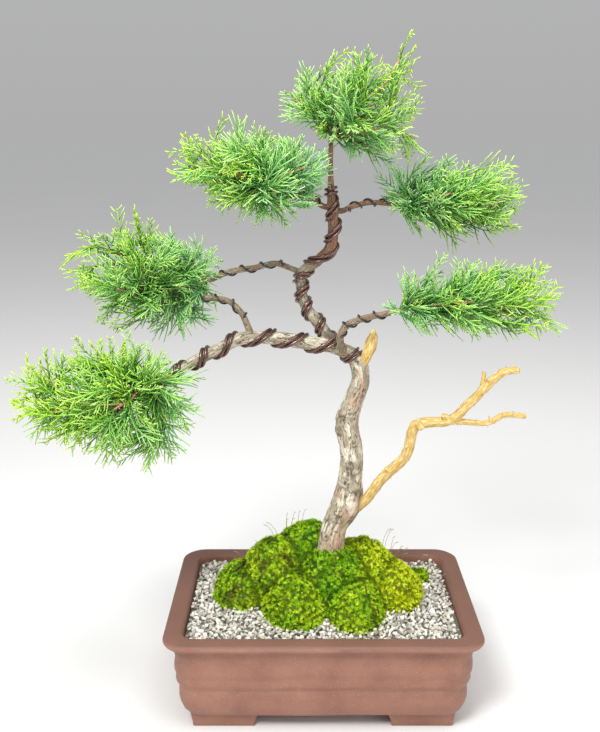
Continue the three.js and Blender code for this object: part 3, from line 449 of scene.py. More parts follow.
def tubes(paths, radii, sides):
    """Closed tubes along many paths. Gives points, faces, and each point's share of its path."""
    paths = np.asarray(paths, float)
    count, stations, _ = paths.shape
    radii = np.broadcast_to(radii, (count, stations))
    along = unit(np.gradient(paths, axis=1))
    guide = np.where(np.abs(along[:, 0, 2:]) > 0.8, FRONT, UP)
    across = np.empty_like(paths)
    for i in range(stations):
        guide = unit(guide - along[:, i] * (guide * along[:, i]).sum(1, keepdims=True))
        across[:, i] = guide
    angles = FULL_TURN * np.arange(sides)[:, None] / sides
    ring = swing(angles, across[:, :, None], np.cross(along, across)[:, :, None])
    points = paths[:, :, None] + radii[:, :, None, None] * ring
    starts = stations * sides * np.arange(count)[:, None, None]
    faces = [(starts + kind).reshape(-1, kind.shape[1]) for kind in tube_faces(stations, sides)]
    share = np.repeat(np.arange(stations) / (stations - 1), sides)
    return points.reshape(-1, 3), faces, np.tile(share, count)


def noise_at(points, size, seed=0.0):
    """Smooth noise from about -1 to 1 at each point, with features of the size given."""
    scaled = points / size + [seed, 0, 0]
    return np.array([noise.noise(Vector(point)) for point in scaled])


class Shape:
    """Points in millimetres with faces and named values."""

    def __init__(self):
        self.points, self.faces, self.values = [], [], {}
        self.count = 0

    def add(self, points, faces, **values):
        for name, value in values.items():
            each = value if np.ndim(value) else np.full(len(points), value)
            self.values.setdefault(name, []).append(each)
        self.points.append(points)
        self.faces += [kind + self.count for kind in faces]
        self.count += len(points)

    def mesh(self, name):
        corners = np.concatenate([kind.ravel() for kind in self.faces])
        sizes = np.concatenate([np.full(len(kind), kind.shape[1]) for kind in self.faces])
        mesh = bpy.data.meshes.new(name)
        mesh.vertices.add(self.count)
        mesh.vertices.foreach_set("co", in_frame(np.concatenate(self.points)).ravel())
        mesh.loops.add(len(corners))
        mesh.loops.foreach_set("vertex_index", corners)
        mesh.polygons.add(len(sizes))
        mesh.polygons.foreach_set("loop_start", np.cumsum(sizes) - sizes)
        mesh.update(calc_edges=True)
        for key, parts in self.values.items():
            store(mesh, key, np.concatenate(parts))
        return mesh


def in_frame(points):
    return POT_MIDDLE + MM * np.asarray(points, float)


def values_of(items, key, width=3, kind=float):
    """A row of numbers for each of a mesh's items."""
    flat = np.empty(width * len(items), kind)
    items.foreach_get(key, flat)
    return flat.reshape(-1, width)


def points_of(mesh):
    """A mesh's points, in millimetres from under the middle of the pot."""
    return (values_of(mesh.vertices, "co") - POT_MIDDLE) / MM


def store(mesh, key, values):
    kind, field = ("FLOAT_VECTOR", "vector") if np.ndim(values) == 2 else ("FLOAT", "value")
    attribute = mesh.attributes.new(key, kind, "POINT")
    attribute.data.foreach_set(field, np.ascontiguousarray(values, dtype=np.float32).ravel())


def linked(name, data):
    """A new object of the data, in the scene."""
    thing = bpy.data.objects.new(name, data)
    bpy.context.scene.collection.objects.link(thing)
    return thing


def finish_piece(name, mesh, look, nodes=(), smooth=True):
    """Makes a piece of a mesh, which rides on the one body and stands for CAD nodes."""
    piece = linked(name, mesh)
    mesh.materials.append(look)
    mesh.polygons.foreach_set("use_smooth", np.full(len(mesh.polygons), smooth))
    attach(piece, "root")
    if nodes:
        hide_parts(*nodes)


def modified(shape, name, *modifiers):
    """The shape's mesh after the modifiers, each given as its kind and its settings."""
    source = linked(name, shape.mesh(name))
    for kind, settings in modifiers:
        modifier = source.modifiers.new(kind, kind)
        for key, value in settings.items():
            setattr(modifier, key, value)
    graph = bpy.context.evaluated_depsgraph_get()
    mesh = bpy.data.meshes.new_from_object(source.evaluated_get(graph))
    bpy.data.objects.remove(source)
    return mesh


# Materials

class Look:
    """A material's nodes, written as calls that give a socket each."""

    def __init__(self, name, **constants):
        self.material = bpy.data.materials.new(name)
        self.material.use_nodes = True
        self.shader = self.material.node_tree.nodes["Principled BSDF"]
        for key, value in constants.items():
            self.shader.inputs[key.replace("_", " ")].default_value = value

    def put(self, socket, value):
        if isinstance(value, bpy.types.NodeSocket):
            self.material.node_tree.links.new(value, socket)
        else:
            socket.default_value = (*value, 1) if socket.type == "RGBA" else value

    def node(self, kind, output, inputs=(), **settings):
        """An output of a new node. Its inputs are numbers, colours and other nodes' outputs."""
        node = self.material.node_tree.nodes.new(kind)
        for key, value in settings.items():
            setattr(node, key, value)
        for key, value in dict(inputs).items():
            self.put(node.inputs[key], value)
        return node.outputs[output]

    def value(self, name):
        return self.node("ShaderNodeAttribute", "Fac", attribute_name=name)

    def vector(self, name):
        return self.node("ShaderNodeAttribute", "Vector", attribute_name=name)

    def place(self):
        return self.node("ShaderNodeTexCoord", "Object")

    def height(self):
        return self.node("ShaderNodeSeparateXYZ", "Z", {"Vector": self.place()})

    def noise(self, where, size, detail=3, roughness=0.55):
        """Noise from 0 to 1; the size of its features is in the units of where."""
        return self.node("ShaderNodeTexNoise", "Fac", {
            "Vector": where, "Scale": 1 / size, "Detail": detail, "Roughness": roughness})

    def cells(self, where, size):
        return self.node("ShaderNodeTexVoronoi", "Distance", {"Vector": where, "Scale": 1 / size})

    def stretched(self, where, *scale):
        return self.node("ShaderNodeVectorMath", "Vector", {0: where, 1: scale},
                         operation="MULTIPLY")

    def math(self, operation, a, b):
        return self.node("ShaderNodeMath", "Value", {0: a, 1: b}, operation=operation)

    def ramp(self, value, *stops):
        """A colour, or a grey where the stops are numbers, that follows the value."""
        colour = self.node("ShaderNodeValToRGB", "Color", {"Fac": value})
        elements = colour.node.color_ramp.elements
        for i, (at, tone) in enumerate(stops):
            element = elements[i] if i < 2 else elements.new(at)
            element.position = at
            element.color = (*tone, 1) if np.ndim(tone) else (tone, tone, tone, 1)
        return colour

    def between(self, value, low, high, most=1.0):
        """0 at low, the most at high, smooth between them and level outside them."""
        inputs = {"Value": value, "From Min": low, "From Max": high, "To Max": most}
        return self.node("ShaderNodeMapRange", "Result", inputs, interpolation_type="SMOOTHSTEP")

    def mix(self, share, a, b):
        """Colour a going over to b. The node's colours are its sockets 6 and 7 and output 2."""
        return self.node("ShaderNodeMix", 2, {0: share, 6: a, 7: b}, data_type="RGBA")

    def colour(self, value):
        self.put(self.shader.inputs["Base Color"], value)

    def rough(self, value):
        self.put(self.shader.inputs["Roughness"], value)

    def bump(self, height, depth):
        """Relief from a height of 0 to 1 that stands for a depth in millimetres."""
        inputs = {"Distance": depth * MM, "Height": height}
        self.put(self.shader.inputs["Normal"], self.node("ShaderNodeBump", "Normal", inputs))


def clay_look():
    look = Look("clay", Specular_IOR_Level=0.45)
    place = look.place()
    cloud = look.noise(place, 0.03, 4)
    body = look.ramp(cloud, (0.3, (0.235, 0.103, 0.069)), (0.7, (0.33, 0.157, 0.107)))
    speckle = look.between(look.cells(place, 0.0021), 0.2, 0.09)
    body = look.mix(look.math("MULTIPLY", speckle, look.noise(place, 0.012)), body,
                    (0.56, 0.43, 0.35))
    # Painted shade: the rim's top is painted darker, standing for less light falling on it than the
    # lamps here give.
    top = look.between(look.height(), (RIM_HEIGHT - 3) * MM, (RIM_HEIGHT - 0.6) * MM, 0.75)
    look.colour(look.mix(top, body, (0.150, 0.070, 0.050)))
    grain = look.noise(place, 0.0012, 4, 0.7)
    streaks = look.noise(look.stretched(place, 0.15, 0.15, 1.0), 0.002)
    look.bump(look.math("ADD", grain, streaks), 0.22)
    look.rough(look.ramp(cloud, (0.3, 0.45), (0.7, 0.6)))
    return look.material


def plain_look(name, texture, settings, low, high, depth, **constants):
    """A look that goes from a low to a high colour over one texture, which is its relief too."""
    look = Look(name, **constants)
    tone = texture(look, look.place(), *settings)
    look.colour(look.ramp(tone, low, high))
    look.bump(tone, depth)
    return look.material


def grit_look():
    look = Look("grit", Roughness=0.9, Specular_IOR_Level=0.2)
    place = look.place()
    # Near lot 0 the tone is painted shade: the sheet under the stones and the lowest layer's darker
    # stones.
    stone = look.ramp(look.value("lot"), (0.0, (0.12, 0.11, 0.09)), (0.3, (0.54, 0.515, 0.445)),
                      (0.75, (0.80, 0.77, 0.69)), (0.93, (0.94, 0.92, 0.85)),
                      (1.0, (0.66, 0.50, 0.37)))
    pits = look.noise(place, 0.001, 3, 0.7)
    look.colour(look.mix(look.between(pits, 0.54, 0.68, 0.6), stone, (0.32, 0.30, 0.255)))
    look.bump(pits, 0.3)
    return look.material


def moss_look():
    look = Look("moss", Roughness=0.55, Specular_IOR_Level=0.12)
    # The tip value is leaf tone with painted shade in it: its low end is the painted shade of clefts,
    # leaf roots and the ground under the tufts.
    tip = look.value("tip")
    green = look.ramp(tip, (0.0, (0.004, 0.016, 0.001)), (0.4, (0.135, 0.44, 0.002)),
                      (1.0, (0.74, 1.0, 0.06)))
    yellow = look.ramp(tip, (0.0, (0.04, 0.05, 0.001)), (0.3, (0.66, 0.80, 0.004)),
                       (1.0, (1.0, 1.0, 0.12)))
    brown = look.ramp(tip, (0.0, (0.010, 0.009, 0.002)), (0.45, (0.11, 0.10, 0.014)),
                      (1.0, (0.32, 0.30, 0.06)))
    body = look.mix(look.value("yellow"), green, yellow)
    look.colour(look.mix(look.value("brown"), body, brown))
    look.bump(look.noise(look.place(), 0.0015, 3), 0.2)
    return look.material


def stalk_look():
    look = Look("moss_stalk", Roughness=0.5)
    grain = look.noise(look.place(), 0.0006, 2)
    stem = look.ramp(look.value("tip"), (0.0, (0.25, 0.12, 0.05)), (0.9, (0.46, 0.32, 0.17)),
                     (1.0, (0.42, 0.44, 0.20)))
    look.colour(look.mix(look.between(grain, 0.4, 0.7, 0.5), stem, (0.2, 0.1, 0.04)))
    look.bump(grain, 0.05)
    return look.material


def bark_look():
    """Grey-tan and flaking on old wood, red-brown on young wood."""
    look = Look("bark", Roughness=0.85, Specular_IOR_Level=0.25)
    grain, relief = look.vector("grain"), look.value("relief")
    flaky = look.stretched(grain, 1, 1, 1.5)
    tone = look.noise(flaky, 6, 5, 0.65)
    old = look.ramp(tone, (0.34, (0.30, 0.24, 0.16)), (0.5, (0.52, 0.46, 0.355)),
                    (0.62, (0.80, 0.74, 0.60)))
    fresh = look.ramp(look.noise(grain, 2.2, 4), (0.3, (0.16, 0.070, 0.046)),
                      (0.7, (0.37, 0.20, 0.135)))
    body = look.mix(look.value("young"), old, fresh)
    body = look.mix(look.math("MULTIPLY", look.value("blush"), look.between(tone, 0.35, 0.6)),
                    body, (0.52, 0.27, 0.18))
    body = look.mix(look.value("foot"), body, look.ramp(
        look.noise(look.stretched(grain, 1.4, 1.4, 0.5), 2.6),
        (0.36, (0.28, 0.16, 0.10)), (0.62, (0.66, 0.44, 0.27))))
    fine = look.noise(flaky, 1.3, 4, 0.6)
    body = look.mix(look.between(fine, 0.50, 0.32, 0.7), body, (0.16, 0.125, 0.08))
    lichen = look.noise(look.stretched(grain, 1, 1, 4), 5, 4, 0.7)
    body = look.mix(look.between(lichen, 0.58, 0.66, 0.6), body, (0.15, 0.14, 0.07))
    crack = look.math("PINGPONG", look.noise(flaky, 6, 4, 0.6), 0.5)
    broken = look.between(look.noise(grain, 4), 0.42, 0.52, 0.95)
    body = look.mix(look.math("MULTIPLY", look.between(crack, 0.472, 0.488), broken),
                    body, (0.07, 0.052, 0.035))
    body = look.mix(look.value("knot"), body, (0.14, 0.105, 0.06))
    # Painted shade: darker where the carved relief is lowest.
    body = look.mix(look.between(relief, 0.25, 0.0, 0.7), body, (0.08, 0.06, 0.04))
    look.colour(body)
    look.bump(look.math("ADD", fine, look.math("MULTIPLY", crack, -2.0)), 0.45)
    return look.material


def bare_wood_look():
    look = Look("bare_wood", Roughness=0.55, Specular_IOR_Level=0.3)
    grain, relief = look.vector("grain"), look.value("relief")
    fibre = look.noise(grain, 1.6, 4, 0.6)
    body = look.ramp(fibre, (0.3, (0.48, 0.28, 0.075)), (0.5, (0.65, 0.45, 0.14)),
                     (0.7, (0.86, 0.73, 0.42)))
    stain = look.noise(look.stretched(grain, 1, 1, 1.2), 9, 4)
    body = look.mix(look.between(stain, 0.54, 0.68, 0.6), body, (0.52, 0.26, 0.06))
    dots = look.between(look.cells(look.stretched(grain, 1, 1, 2.5), 7), 0.16, 0.08, 0.7)
    body = look.mix(dots, body, (0.26, 0.12, 0.035))
    # Painted shade: darker where the carved relief is lowest.
    body = look.mix(look.between(relief, 0.25, 0.05, 0.6), body, (0.34, 0.17, 0.05))
    look.colour(body)
    look.bump(fibre, 0.45)
    return look.material


def wire_look(name, low, high, roughness, metallic):
    look = Look(name, Metallic=metallic, Specular_IOR_Level=0.6, Coat_Weight=0.8,
                Coat_Roughness=0.2)
    wear = look.noise(look.place(), 0.02, 2)
    look.colour(look.ramp(wear, (0.35, low), (0.7, high)))
    look.rough(look.ramp(wear, (0.3, roughness + 0.1), (0.7, roughness - 0.05)))
    look.bump(wear, 0.02)
    return look.material


def foliage_look():
    look = Look("foliage", Roughness=0.5, Specular_IOR_Level=0.25)
    # The tip value is partly the real paler new growth at the ends and partly painted shade: its low
    # end is thread roots deep in a pad.
    tip = look.value("tip")
    cool = look.ramp(tip, (0.0, (0.010, 0.042, 0.014)), (0.5, (0.14, 0.42, 0.13)),
                     (1.0, (0.45, 0.77, 0.30)))
    warm = look.ramp(tip, (0.0, (0.012, 0.050, 0.004)), (0.5, (0.18, 0.44, 0.02)),
                     (1.0, (0.62, 0.86, 0.09)))
    bark = look.ramp(look.noise(look.place(), 0.002), (0.35, (0.25, 0.14, 0.07)),
                     (0.65, (0.52, 0.33, 0.18)))
    body = look.mix(look.value("lot"), cool, warm)
    look.colour(look.mix(look.value("wood"), body, bark))
    look.bump(look.noise(look.place(), 0.0011, 2), 0.12)
    return look.material


CLAY = clay_look()
SOIL = plain_look("soil", Look.cells, [0.003], (0.0, (0.09, 0.055, 0.035)),
                  (0.6, (0.02, 0.012, 0.008)), 1.5, Roughness=0.95)
SCREEN = plain_look("screen", Look.noise, [0.004], (0.3, (0.010, 0.011, 0.010)),
                    (0.7, (0.03, 0.032, 0.03)), 0.1, Roughness=0.5)
FLOOR = plain_look("floor", Look.noise, [0.5, 2], (0.0, (0.77, 0.765, 0.755)),
                   (1.0, (0.80, 0.795, 0.785)), 0.0, Roughness=0.9, Specular_IOR_Level=0.1)
GRIT = grit_look()
MOSS_LOOK = moss_look()
STALK = stalk_look()
BARK = bark_look()
BARE_WOOD = bare_wood_look()
COPPER_WIRE = wire_look("copper_wire", (0.10, 0.042, 0.032), (0.20, 0.095, 0.075), 0.3, 0.75)
BLACK_WIRE = wire_look("black_wire", (0.004, 0.004, 0.004), (0.016, 0.014, 0.013), 0.4, 0.2)
FOLIAGE = foliage_look()


# Pot

def rim_ring(inset, z, corner):
    """A rounded rectangle inside the rim's edge, turning anticlockwise from above."""
    half = np.array([RIM_LENGTH, RIM_WIDTH]) / 2 - inset
    points = []
    for quarter, signs in enumerate([(1, 1), (-1, 1), (-1, -1), (1, -1)]):
        middle = np.array(signs) * (half - corner)
        angles = (quarter + np.arange(CORNER_STEPS + 1) / CORNER_STEPS) * math.pi / 2
        points += [middle + corner * np.array([math.cos(a), math.sin(a)]) for a in angles]
        ahead = np.array([[-1, 0], [0, -1], [1, 0], [0, 1]][quarter])
        run = 2 * (half - corner)[quarter % 2]
        parts = round((RIM_LENGTH, RIM_WIDTH)[quarter % 2] / WALL_SPACING)
        points += [points[-1] + ahead * run * i / parts for i in range(1, parts)]
    return np.column_stack([np.array(points), np.full(len(points), z)])


def pot_skin():
    """The wall from the underside over the rim and down to the floor, a little uneven by hand."""
    profile = [(i, z, RIM_CORNER - CORNER_TIGHTENING * i) for i, z in OUTER_WALL]
    profile += [(i, z, INNER_CORNER) for i, z in INNER_WALL]
    rings = [rim_ring(*row) for row in profile]
    points = np.concatenate(rings)
    outward = unit(points * [1 / RIM_LENGTH, 1 / RIM_WIDTH, 0])
    wave = noise_at(points * [0.5, 0.5, 3], 40, 3.0) + 0.5 * noise_at(points * [0.6, 1, 3], 18, 9.0)
    points += outward * (WAVE_DEPTH * wave * (points[:, 2] < WAVE_TOP))[:, None]
    outer = np.repeat(np.arange(len(rings)) < len(OUTER_WALL), len(rings[0]))
    creased = np.clip(2 - np.abs(points[:, 2] - CREASE_HEIGHT) / CREASE_BAND, 0, 1)
    points[:, 2] += CREASE_WANDER * noise_at(points * [1, 1, 0], 45, 5.0) * creased * outer
    return points, tube_faces(len(rings), len(rings[0]))


def add_foot(body, sign_x, sign_y):
    """An L of two short walls that flare at the top, with rounded lower edges."""
    x, y = RIM_LENGTH / 2 - FOOT["inset"], RIM_WIDTH / 2 - FOOT["inset"]
    thick = FOOT["thickness"]
    levels = []
    for z, flare, out in FOOT_LEVELS:
        long, wide = FOOT["armX"] + flare, FOOT["armY"] + flare
        outline = [(-out, -out), (long, -out), (long, thick), (thick, thick), (thick, wide),
                   (-out, wide)]
        levels.append([
            body.verts.new(in_frame([sign_x * (x - u), sign_y * (y - v), z])) for u, v in outline
        ])
    faces = [body.faces.new(levels[0][::-1]), body.faces.new(levels[-1])]
    for low, high in zip(levels, levels[1:]):
        for i in range(len(low)):
            j = (i + 1) % len(low)
            faces.append(body.faces.new([low[i], low[j], high[j], high[i]]))
    bmesh.ops.recalc_face_normals(body, faces=faces)
    edges = dict.fromkeys(edge for face in faces for edge in face.edges)
    sharp = [edge for edge in edges if edge.calc_face_angle(0) > 0.6
             and min(vert.co.z for vert in edge.verts) < (FOOT_HEIGHT - 1) * MM]
    bmesh.ops.bevel(body, geom=sharp, offset=FOOT_EDGE * MM, segments=3, profile=0.5,
                    affect="EDGES")


def drain_tool(side):
    """A round cutter through the floor of the pot."""
    body = bmesh.new()
    radius = DRAIN["radius"] * MM
    bmesh.ops.create_cone(body, cap_ends=True, segments=32, radius1=radius, radius2=radius,
                          depth=2 * FLOOR_TOP * MM)
    bmesh.ops.translate(body, verts=body.verts,
                        vec=in_frame([side * DRAIN["fromMiddle"], 0, FLOOR_TOP - 5]))
    mesh = bpy.data.meshes.new("drain_tool")
    body.to_mesh(mesh)
    return linked("drain_tool", mesh)


def pot():
    skin = Shape()
    skin.add(*pot_skin())
    tools = [drain_tool(side) for side in (-1, 1)]
    cuts = [("BOOLEAN", {"object": tool, "operation": "DIFFERENCE", "solver": "EXACT"})
            for tool in tools]
    mesh = modified(skin, "pot_wall", *cuts)
    for tool in tools:
        bpy.data.objects.remove(tool)
    body = bmesh.new()
    body.from_mesh(mesh)
    for signs in ((-1, -1), (-1, 1), (1, -1), (1, 1)):
        add_foot(body, *signs)
    body.to_mesh(mesh)
    finish_piece("clay_pot", mesh, CLAY, ["pot"])
    mesh.set_sharp_from_angle(angle=math.radians(50))


def drain_screen(name):
    """A square of plastic mesh: bars one way laid over bars the other way."""
    low, high = [(np.array(end) - POT_MIDDLE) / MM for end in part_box(name)]
    radius = (high[2] - low[2]) / 4
    shape = Shape()
    for axis, z in ((0, low[2] + radius), (1, high[2] - radius)):
        for place in np.linspace(low[axis] + radius, high[axis] - radius, SCREEN_BARS):
            bar = np.array([low, high])
            bar[:, axis] = place
            bar[:, 2] = z
            shape.add(*tubes(bar[None], radius, 8)[:2])
    finish_piece(name + "_mesh", shape.mesh(name), SCREEN, [name])


# Moss

def moss_depth(points, cushions):
    """How far outside each cushion a point is, roughly, in millimetres."""
    depths = []
    for x, y, half_x, half_y, top, *_ in cushions:
        half = np.array([half_x, half_y, top - MOSS_BASE], float)
        depths.append((np.linalg.norm((points - [x, y, MOSS_BASE]) / half, axis=1) - 1)
                      * half.mean())
    return np.array(depths)


def mound_depth(points):
    """How far outside the whole mound a point is, with the valleys between cushions filled in."""
    depths = moss_depth(points, MOSS.values())
    nearest = depths.min(0)
    filled = MOSS_BLEND * np.log(np.exp((nearest - depths) / MOSS_BLEND).sum(0))
    return nearest - filled + MOSS_SETTLED


def outside_moss(points):
    """How far outside the mound and the small tuft a point is."""
    return np.minimum(mound_depth(points), moss_depth(points, [MOSS_TUFT])[0])


def dome(subdivisions):
    body = bmesh.new()
    bmesh.ops.create_icosphere(body, subdivisions=subdivisions, radius=1)
    points = np.array([v.co for v in body.verts])
    faces = np.array([[v.index for v in f.verts] for f in body.faces])
    keep = (points[faces][:, :, 2] > -0.06).all(1)
    return points, faces[keep]


def outward_reach(ways, heart, depth_of, furthest):
    """Where rays from the heart last leave the surface that depth_of describes."""
    steps = np.linspace(furthest, 2, 90)
    reach = np.ones(len(ways))
    for step in steps:
        inside = (depth_of(heart + step * ways) < 0) & (reach == 1)
        reach[inside] = step
    low, high = reach, reach + steps[0] - steps[1]
    for _ in range(8):
        middle = (low + high) / 2
        inside = depth_of(heart + middle[:, None] * ways) < 0
        low, high = np.where(inside, middle, low), np.where(inside, high, middle)
    return low


def face_crosses(points, faces):
    """A vector square to each triangle, twice as long as the triangle's area."""
    a, b, c = (points[faces[:, i]] for i in range(3))
    return np.cross(b - a, c - a)


def surface_normals(points, faces):
    crosses = face_crosses(points, faces)
    normals = np.zeros_like(points)
    for i in range(3):
        np.add.at(normals, faces[:, i], crosses)
    return unit(normals)


def lumpy(points, faces):
    """Small swellings all over, with sharp clefts between them."""
    normals = surface_normals(points, faces)
    swell = np.abs(noise_at(points, LUMP_SIZE, 1.0))
    lumps = LUMP_HEIGHT * swell + KNOB_HEIGHT * noise_at(points, KNOB_SIZE, 7.0)
    return points + normals * (lumps - LUMPS_SETTLED)[:, None], swell


def moss_tones(points, cushions, rng):
    """How yellow and how brown the moss is at each point."""
    depths = moss_depth(points, cushions)
    weights = np.exp((depths.min(0) - depths) / 5)
    weights /= weights.sum(0)
    yellow, brown = (weights.T @ [cushion[i] for cushion in cushions] for i in (5, 6))
    drift, patch = noise_at(points, 16, 4.0), noise_at(points, 11, 17.0)
    return (
        np.clip(yellow + 0.35 * drift + rng.normal(0, 0.1, len(points)), 0, 1),
        np.clip(2.2 * (patch + brown - 0.5) + rng.normal(0, 0.08, len(points)), 0, 0.8),
    )


def open_to_light(points, swell, cushions):
    """0 in the clefts between cushions and lumps, 1 on top of them."""
    depths = np.sort(moss_depth(points, cushions), axis=0)
    apart = depths[1] - depths[0] if len(depths) > 1 else 9.0
    return np.clip(apart / CLEFT_WIDTH, 0, 1) * np.clip(0.25 + 6 * swell, 0, 1)


def moss_tufts(shape, points, normals, swell, cushions, rng):
    """A star of small leaves at each point, with painted shade: darker in the clefts, and on each
    leaf at its root and darkest underneath.
    """
    count = len(points)
    up = normals[:, None]
    side = unit(np.cross(normals, rng.normal(size=(count, 3))))[:, None]
    angle = FULL_TURN * np.arange(MOSS_LEAVES) / MOSS_LEAVES + rng.uniform(0, 6.3, (count, 1))
    lean = rng.uniform(0.5, 1.25, (count, MOSS_LEAVES))
    way = swing(lean[..., None], up, swing(angle[..., None], side, np.cross(up, side)))
    stature = rng.uniform(0, 1, (count, 1, 1))
    length = rng.uniform(*MOSS_LEAF["length"], (count, MOSS_LEAVES, 1)) * (0.75 + 0.5 * stature)
    root = points[:, None] + (1.8 * stature - 1.2) * up + 0.2 * way
    across = MOSS_LEAF["width"] * unit(np.cross(way, up))
    under = root - MOSS_LEAF["thickness"] * up
    corners = np.stack([root - across, root + across, under, root + way * length], 2)
    first = 4 * np.arange(count * MOSS_LEAVES)[:, None, None]
    sides = np.array([[0, 3, 1], [1, 3, 2], [2, 3, 0], [0, 1, 2]])
    yellow, brown = moss_tones(points, cushions, rng)
    # Painted shade: a random tone for each tuft, darkened in the clefts; each leaf is painted darker
    # at its root and darkest underneath.
    tone_and_shade = rng.uniform(0.25, 1.1, count) * (0.1 + 0.9 * open_to_light(points, swell, cushions))
    tone_and_shade = np.repeat(tone_and_shade, MOSS_LEAVES) * rng.uniform(0.55, 1.25, count * MOSS_LEAVES)
    shape.add(
        corners.reshape(-1, 3), [(first + sides).reshape(-1, 3)],
        yellow=np.repeat(yellow, 4 * MOSS_LEAVES), brown=np.repeat(brown, 4 * MOSS_LEAVES),
        tip=(tone_and_shade[:, None] * [0.35, 0.35, 0.05, 1]).ravel(),
    )


def scatter_on(points, faces, area, rng):
    """Random places on triangles, one for each area, as faces and weights of their corners."""
    sizes = 0.5 * np.linalg.norm(face_crosses(points, faces), axis=1)
    owner = rng.choice(len(faces), int(sizes.sum() / area), p=sizes / sizes.sum())
    u, v = rng.uniform(0, 1, (2, len(owner)))
    flip = u + v > 1
    u, v = np.where(flip, 1 - u, u), np.where(flip, 1 - v, v)
    return faces[owner], np.stack([1 - u - v, u, v], 1)


def moss_piece(node, points, faces, swell, cushions, rng):
    normals = surface_normals(points, faces)
    used, local = np.unique(faces, return_inverse=True)
    shape = Shape()
    yellow, brown = moss_tones(points[used], cushions, rng)
    # The dome under the tufts is painted near-black, as painted shade between the leaves.
    shape.add(points[used], [local.reshape(faces.shape)], tip=0.04, yellow=yellow, brown=brown)
    corners, weights = scatter_on(points, faces, TUFT_AREA, rng)
    places = (points[corners] * weights[..., None]).sum(1)
    ups = unit((normals[corners] * weights[..., None]).sum(1))
    moss_tufts(shape, places, ups, (swell[corners] * weights).sum(1), cushions, rng)
    finish_piece(node + "_fur", shape.mesh(node), MOSS_LOOK, [node], smooth=False)


def moss_mound():
    rng = np.random.default_rng(SEEDS["mound"])
    ways, faces = dome(7)
    reach = outward_reach(ways, MOSS_HEART, mound_depth, 150)
    points, swell = lumpy(MOSS_HEART + reach[:, None] * ways, faces)
    cushions = list(MOSS.values())
    owner = moss_depth(points[faces].mean(1), cushions).argmin(0)
    for i, node in enumerate(MOSS):
        moss_piece(node, points, faces[owner == i], swell, cushions, rng)


def moss_tuft():
    rng = np.random.default_rng(SEEDS["tuft"])
    ways, faces = dome(5)
    x, y, half_x, half_y, top, *_ = MOSS_TUFT
    size = np.array([half_x, half_y, top - MOSS_BASE])
    points, swell = lumpy([x, y, MOSS_BASE] + ways * (size - 1), faces)
    moss_piece("moss_tuft_right", points, faces, swell, [MOSS_TUFT], rng)


def moss_stalks():
    """Thin stalks with a small nodding capsule each."""
    rng = np.random.default_rng(SEEDS["stalks"])
    shape = Shape()
    column = np.zeros((90, 3))
    column[:, 2] = np.linspace(STALK_SEARCH_TOP, MOSS_BASE, len(column))
    share = np.linspace(0, 1, len(STALK_RADII))[:, None]
    for x, y, lean, height in MOSS_STALKS:
        for _ in range(2):
            column[:, 0] = x + rng.uniform(-3, 3)
            column[:, 1] = y + rng.uniform(-3, 3)
            inside = outside_moss(column) < 0
            foot = column[inside.argmax() if inside.any() else -1]
            tall = height * rng.uniform(0.6, 1.05)
            bend = np.array([lean * rng.uniform(0.5, 1.5), rng.uniform(-4, 4), 0])
            path = foot + share * [0, 0, tall] + share ** 2 * bend
            path[-1] += unit(bend + [0.01, 0, 0]) * STALK_NOD - [0, 0, STALK_NOD]
            points, faces, along = tubes(path[None], np.array(STALK_RADII), 5)
            shape.add(points, faces, tip=along)
    finish_piece("moss_stalks", shape.mesh("moss_stalks"), STALK)


# Gravel

def stone_kinds(rng, kinds=14):
    """Angular chips: hulls of a few random points on a squashed ball."""
    stones = []
    for _ in range(kinds):
        body = bmesh.new()
        for way in unit(rng.normal(size=(10, 3))):
            body.verts.new(way * rng.uniform(0.8, 1.05) * [1.0, 0.78, 0.62])
        hull = bmesh.ops.convex_hull(body, input=body.verts)
        loose = dict.fromkeys(hull["geom_interior"] + hull["geom_unused"])
        bmesh.ops.delete(body, geom=[v for v in loose if isinstance(v, bmesh.types.BMVert)],
                         context="VERTS")
        bmesh.ops.triangulate(body, faces=body.faces)
        body.verts.index_update()
        stones.append((np.array([v.co for v in body.verts]),
                       np.array([[v.index for v in f.verts] for f in body.faces])))
    return stones


def turned(points, rng):
    """Points turned by a random rotation."""
    return points @ np.array(Quaternion(unit(rng.normal(size=4))).to_matrix()).T


def in_bed(x, y, room):
    """Whether a place is inside the pot's wall by the room given."""
    over_x = abs(x) - (RIM_LENGTH / 2 - FILL_TOP - room - FILL_CORNER)
    over_y = abs(y) - (RIM_WIDTH / 2 - FILL_TOP - room - FILL_CORNER)
    if over_x > 0 and over_y > 0:
        return math.hypot(over_x, over_y) < FILL_CORNER
    return max(over_x, over_y) < FILL_CORNER


